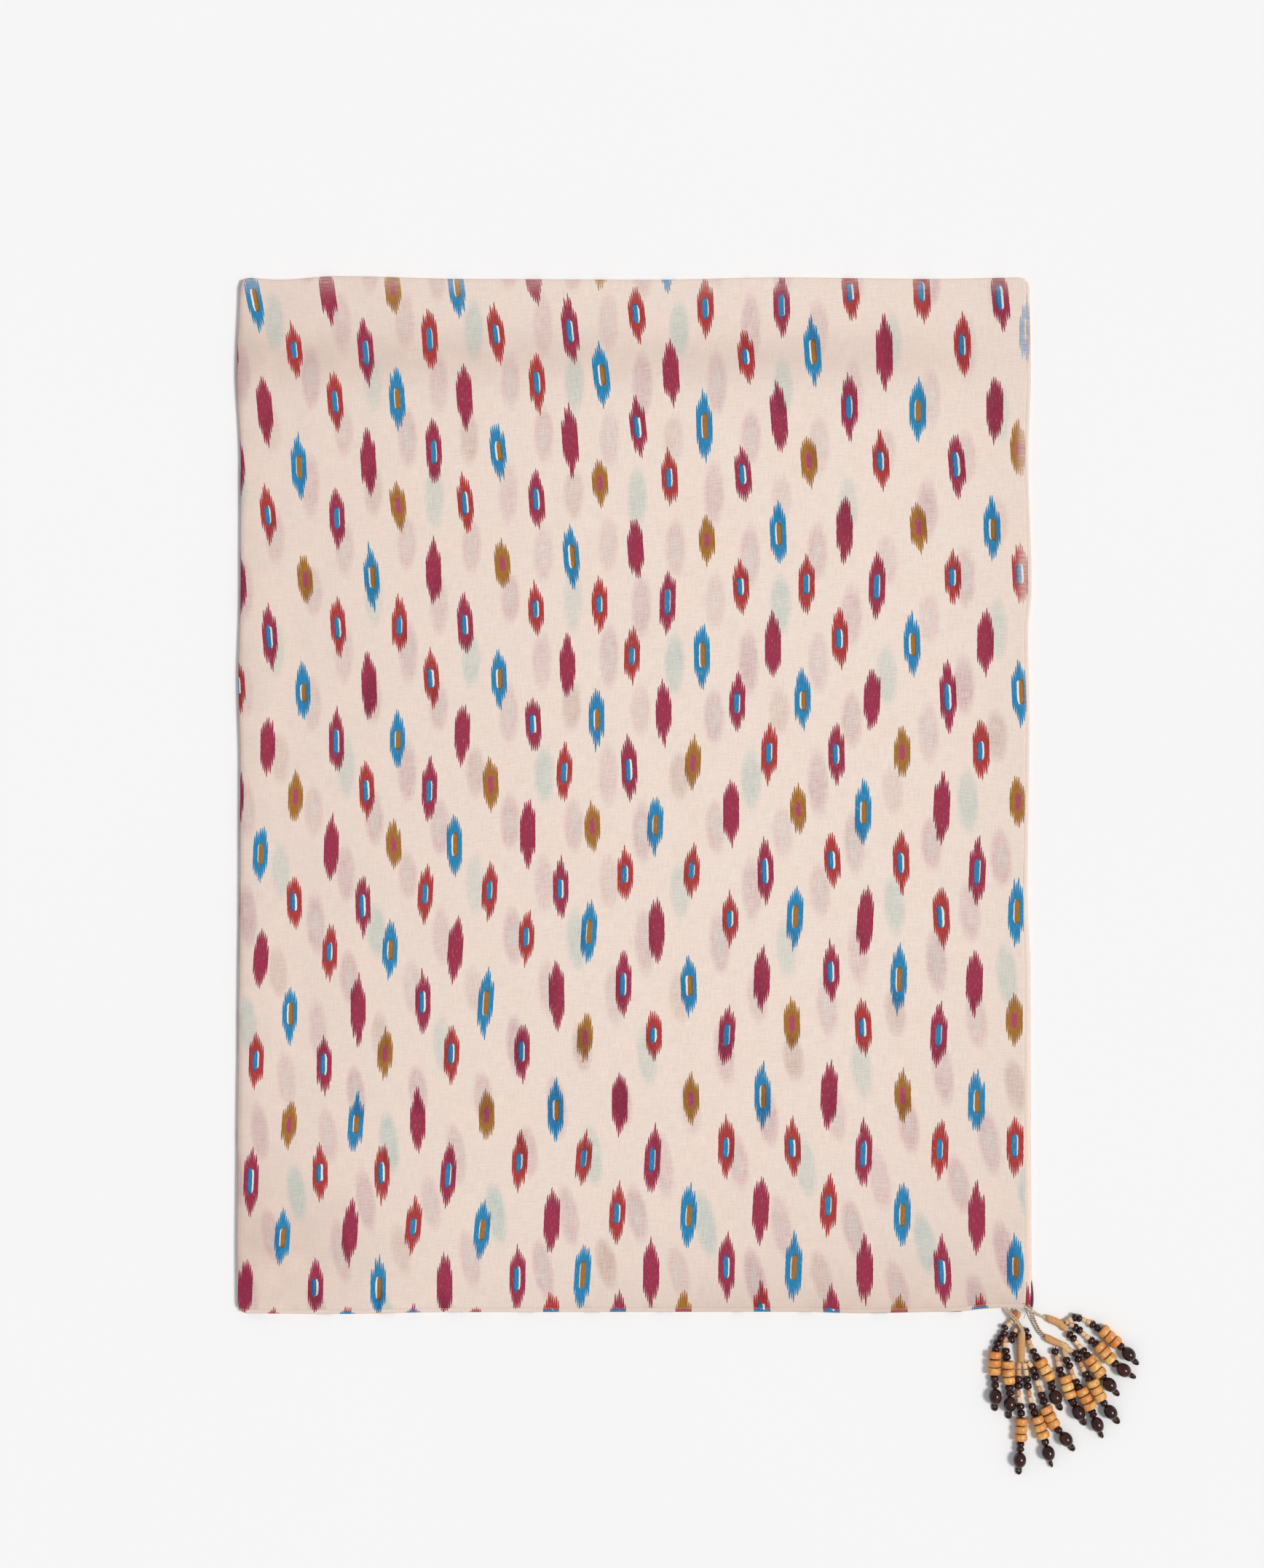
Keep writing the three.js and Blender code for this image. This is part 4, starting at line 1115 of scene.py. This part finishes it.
def strand(name, joined, discs, oval, rng):
    """Everything strung on one strand, from its tassel's head to the seed ring at its tip."""
    disc_row, bead_row = STRANDS[name]
    disc_axis, bead_axis = pointing(disc_row[2]), pointing(bead_row[2])
    disc_middle = from_corner((*disc_row[:2], DISCS["height"]))
    bead_middle = from_corner((*bead_row[:2], END_BEAD["height"]))
    reach = disc_axis * (DISCS["each"] * DISCS["count"] / 2 + 0.1)
    root = from_corner(TASSELS[name[0]]["roots"][int(name[1]) - 1])
    kinds, rows = SMALL[name]
    places = [from_corner(row if len(row) == 3 else (*row, SMALL_HEIGHT)) for row in rows]
    line = [root, *places, disc_middle - reach]
    for kind, before, at, after in zip(kinds, line, line[1:], line[2:]):
        rooms = [np.linalg.norm(after - at) * 0.5, np.linalg.norm(at - before) * 0.5]
        room = rooms[0] if before is root else min(rooms)
        if after is line[-1]:
            room = rooms[1]
        small_bead(joined, kind, at, after - before, room * 0.99, rng)
    disc_stack(discs, disc_middle, disc_axis, rng)
    leaving, reaching = disc_middle + reach, bead_middle - bead_axis * (END_BEAD["half"] + 0.1)
    link = spline([leaving, (leaving + reaching) / 2 - np.array([0, 0, 0.9]), reaching], 21)
    span = lengths(link)[-1]
    link_ahead, _, _ = frames(link)
    count = max(1, round(span / 3.5))
    for k in range(count):
        at = int((k + 0.5) / count * 20)
        small_bead(joined, "d", link[at], link_ahead[at], span / count * 0.49, rng)
    radius = END_BEAD["radius"] * rng.uniform(0.97, 1.02)
    oval.add(*turned(round_profile(radius, END_BEAD["half"], 0.9, 2.0, 19), bead_middle, bead_axis, 32),
             tone=rng.uniform(0, 1))
    tip = bead_middle + bead_axis * END_BEAD["half"]
    ring = seed_ring(joined, tip, bead_axis, rng)
    route = spline([*line, disc_middle, leaving, link[10], reaching, bead_middle, tip, ring], 110)
    joined["thread"].add(*tube(route, THREAD_RADIUS, 6), tone=0.4)


def wound_head(joined, row, rng):
    """Thread wound round the gathered ends: a bent tube with a ridge for each turn."""
    places = np.array([(*from_corner(p), r) for p, r in zip(row["head"], row["radii"])])
    turns = int(lengths(places[:, :3])[-1] / row["wrap"])
    route = spline(places, turns * RINGS_TO_A_TURN + 1)
    turn = np.arange(len(route)) / RINGS_TO_A_TURN
    round_top = np.abs(np.sin(math.pi * (turn + 0.1 * np.sin(turn * 1.9)))) ** 0.7
    swell = 1 + 0.03 * np.sin(turn * 1.3 + rng.uniform(0, 6))
    radii = route[:, 3] * swell + (round_top - 0.6) * 0.16 * row["wrap"]
    radii[:2] *= 0.84
    radii[-2:] *= 0.86
    # Painted shade in the grooves between turns.
    groove = np.repeat(np.clip(1 - 1.6 * round_top, 0, 1), HEAD_SIDES).tolist()
    joined.add(*tube(route[:, :3], radii, HEAD_SIDES, WRAP_SLANT), tone=0.8, groove=groove)


def twisted(joined, route, radius, lay, plies, tones):
    """A twisted cord: plies wound round the route, one full turn in each length of lay."""
    _, aside, above = frames(route)
    run = lengths(route)
    for k in range(plies):
        w = 2 * math.pi * (run / lay + k / plies)
        off = radius * (np.cos(w)[:, None] * aside + np.sin(w)[:, None] * above)
        joined.add(*tube(route + off, radius * 1.05, 7), tone=tones[k % len(tones)])


def corner_cords(joined, letter, row):
    """The cord or pair of cords from the cloth's corner into the head."""
    places = [from_corner(place) for place in row["cord"]]
    route = spline(places, max(12, int(lengths(places)[-1] / 0.35)))
    _, aside, _ = frames(route)
    swell = np.sin(np.linspace(0.12, 0.94, len(route)) * math.pi)[:, None] ** 0.5
    tones = (0.05, 1.0, 0.9) if letter == "c" else (1.0, 0.7, 0.92)
    for k in range(row["cords"]):
        off = (k - (row["cords"] - 1) / 2) * row["apart"] * aside * swell
        twisted(joined, route + off, row["ply"], row["ply"] * 6.5, 3, tones)


def tuft(joined, start, end, width, rng):
    """A gathered lobe of thread ends, full in its middle."""
    start, end = from_corner(start), from_corner(end)
    _, aside, _ = frames(np.array([start, (start + end) / 2, end]))
    middle = (start + end) / 2 + 0.12 * width * rng.choice([-1, 1]) * aside[1]
    share = np.linspace(0, 1, 13)
    radii = width * 0.46 * (0.72 + 0.34 * np.sin(share * math.pi)) * (1 - share**7) ** 0.5 + 0.05
    lumps = 1 + 0.06 * np.sin(share * 17 + rng.uniform(0, 6))
    joined.add(*tube(spline([start, middle, end], 13), radii * lumps, 14, 0.2),
               tone=rng.uniform(0.6, 1.0))


def tassel(letter, finishes):
    rng = np.random.default_rng(ord(letter))
    row = TASSELS[letter]
    wrap, cords, ends = Joined(), Joined(), Joined()
    joined = {"d": Joined(), "t": Joined(), "thread": Joined()}
    wound_head(wrap, row, rng)
    for start, end, width in TUFTS.get(letter, []):
        tuft(ends, start, end, width, rng)
    corner_cords(cords, letter, row)
    for name in (n for n in STRANDS if n[0] == letter):
        discs, oval = Joined(), Joined()
        strand(name, joined, discs, oval, rng)
        made = discs.build(f"discs_{name}", finishes["light_wood"])
        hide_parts(f"wood_discs_{name}")
        made = oval.build(f"oval_{name}", finishes["dark_wood"])
        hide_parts(f"end_bead_{name}")
    head = wrap.build(f"wrapped_head_{letter}", finishes["tan_thread"])
    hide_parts(f"tassel_{letter}")
    if ends.points:
        ends.build(f"thread_ends_{letter}", finishes["thread_ends"])
    for piece, name, finish, slot in (
        (cords, "corner_cord", "cord_thread", "tan_thread"),
        (joined["t"], "tan_beads", "tan_bead", "tan_thread"),
        (joined["thread"], "strand_threads", "strand_thread", "tan_thread"),
        (joined["d"], "dark_beads", "dark_wood", "dark_wood"),
    ):
        piece.build(f"{name}_{letter}", finishes[finish])


def cut_end(material):
    """The cut ends of the threads, which show as a disc at the top of the first head."""
    (before, last), radius = TASSELS["a"]["head"][-2:], TASSELS["a"]["radii"][-1]
    axis = from_corner(last) - from_corner(before)
    axis /= np.linalg.norm(axis)
    profile = [(0.0, -0.6), (radius * 0.9, -0.6), (radius * 0.93, 0.1), (radius * 0.8, 0.42),
               (radius * 0.5, 0.56), (0.0, 0.6)]
    joined = Joined()
    joined.add(*turned(profile, from_corner(last), axis, sides=26), tone=0.7)
    joined.build("cut_end_a", material)


def rolled_corner(material):
    """The rolled edge of a lower layer, which shows beside the corner. It is coloured dark grey-brown:
    its burgundy print under painted shade along the cloth's edge.
    """
    route = spline([from_corner(p) for p in ROLLED_CORNER], 26)
    share = np.linspace(0, 1, 26)
    radii = 0.8 * np.sin(np.clip(0.04 + share * 0.86, 0, 1) * math.pi) ** 0.7
    joined = Joined()
    joined.add(*tube(route, radii, 14), tone=0.5)
    joined.build("rolled_corner", material)


def strays(material):
    joined = Joined()
    for places, tone in STRAYS:
        joined.add(*tube(spline([from_corner(p) for p in places], 30), 0.12, 6), tone=tone)
    joined.build("stray_threads", material)


# ---- the whole kerchief
make_camera()
make_lights()
make_floor(floor_material())
motifs = motif_group()
panel, panel_flat = top_panel(cotton_material("printed_cotton_finish", motifs, 0.31))
layers = hidden_layers(cotton_material("hidden_cotton_finish", motifs, 0.0))
hem_cotton = cotton_material("hem_cotton_finish", motifs, 0.0, rolled=True)
routes = hem_routes()
right_hem = hem_roll("rolled_hem_right", hem_cotton, "hem_right", routes[0], (-1, 0), "right")
bottom_hem = hem_roll("rolled_hem_bottom", hem_cotton, "hem_bottom", routes[1], (0, 1), "bottom")
finishes = {
    "cord_thread": thread_material("cord_thread_finish", (226, 200, 168), (88, 66, 52), 1500.0),
    "stitch_thread": thread_material("stitch_thread_finish", (244, 232, 222), (214, 192, 178), 1500.0),
    "tan_thread": thread_material("tan_thread_finish", (220, 170, 114), (176, 124, 78), 1400.0),
    "tan_bead": thread_material("tan_bead_finish", (240, 208, 168), (198, 142, 96), 500.0),
    "strand_thread": thread_material("strand_thread_finish", (74, 50, 40), (44, 28, 24), 1500.0),
    "thread_ends": thread_material("thread_ends_finish", (222, 186, 142), (172, 130, 90), 1100.0),
    "cut_end": thread_material("cut_end_finish", (214, 124, 88), (172, 88, 58), 1300.0),
    # The rolled edge: burgundy print darkened by painted shade.
    "shaded_rolled_edge": thread_material("rolled_edge_finish", (128, 84, 92), (60, 42, 46), 900.0),
    "stray": thread_material("stray_finish", (206, 212, 218), (66, 46, 42), 1500.0),
    "light_wood": light_wood_material(),
    "dark_wood": dark_wood_material(),
}
stitching = stitches(finishes["stitch_thread"], routes)
for letter in TASSELS:
    tassel(letter, finishes)
cut_end(finishes["cut_end"])
strays(finishes["stray"])
rolled_corner(finishes["shaded_rolled_edge"])
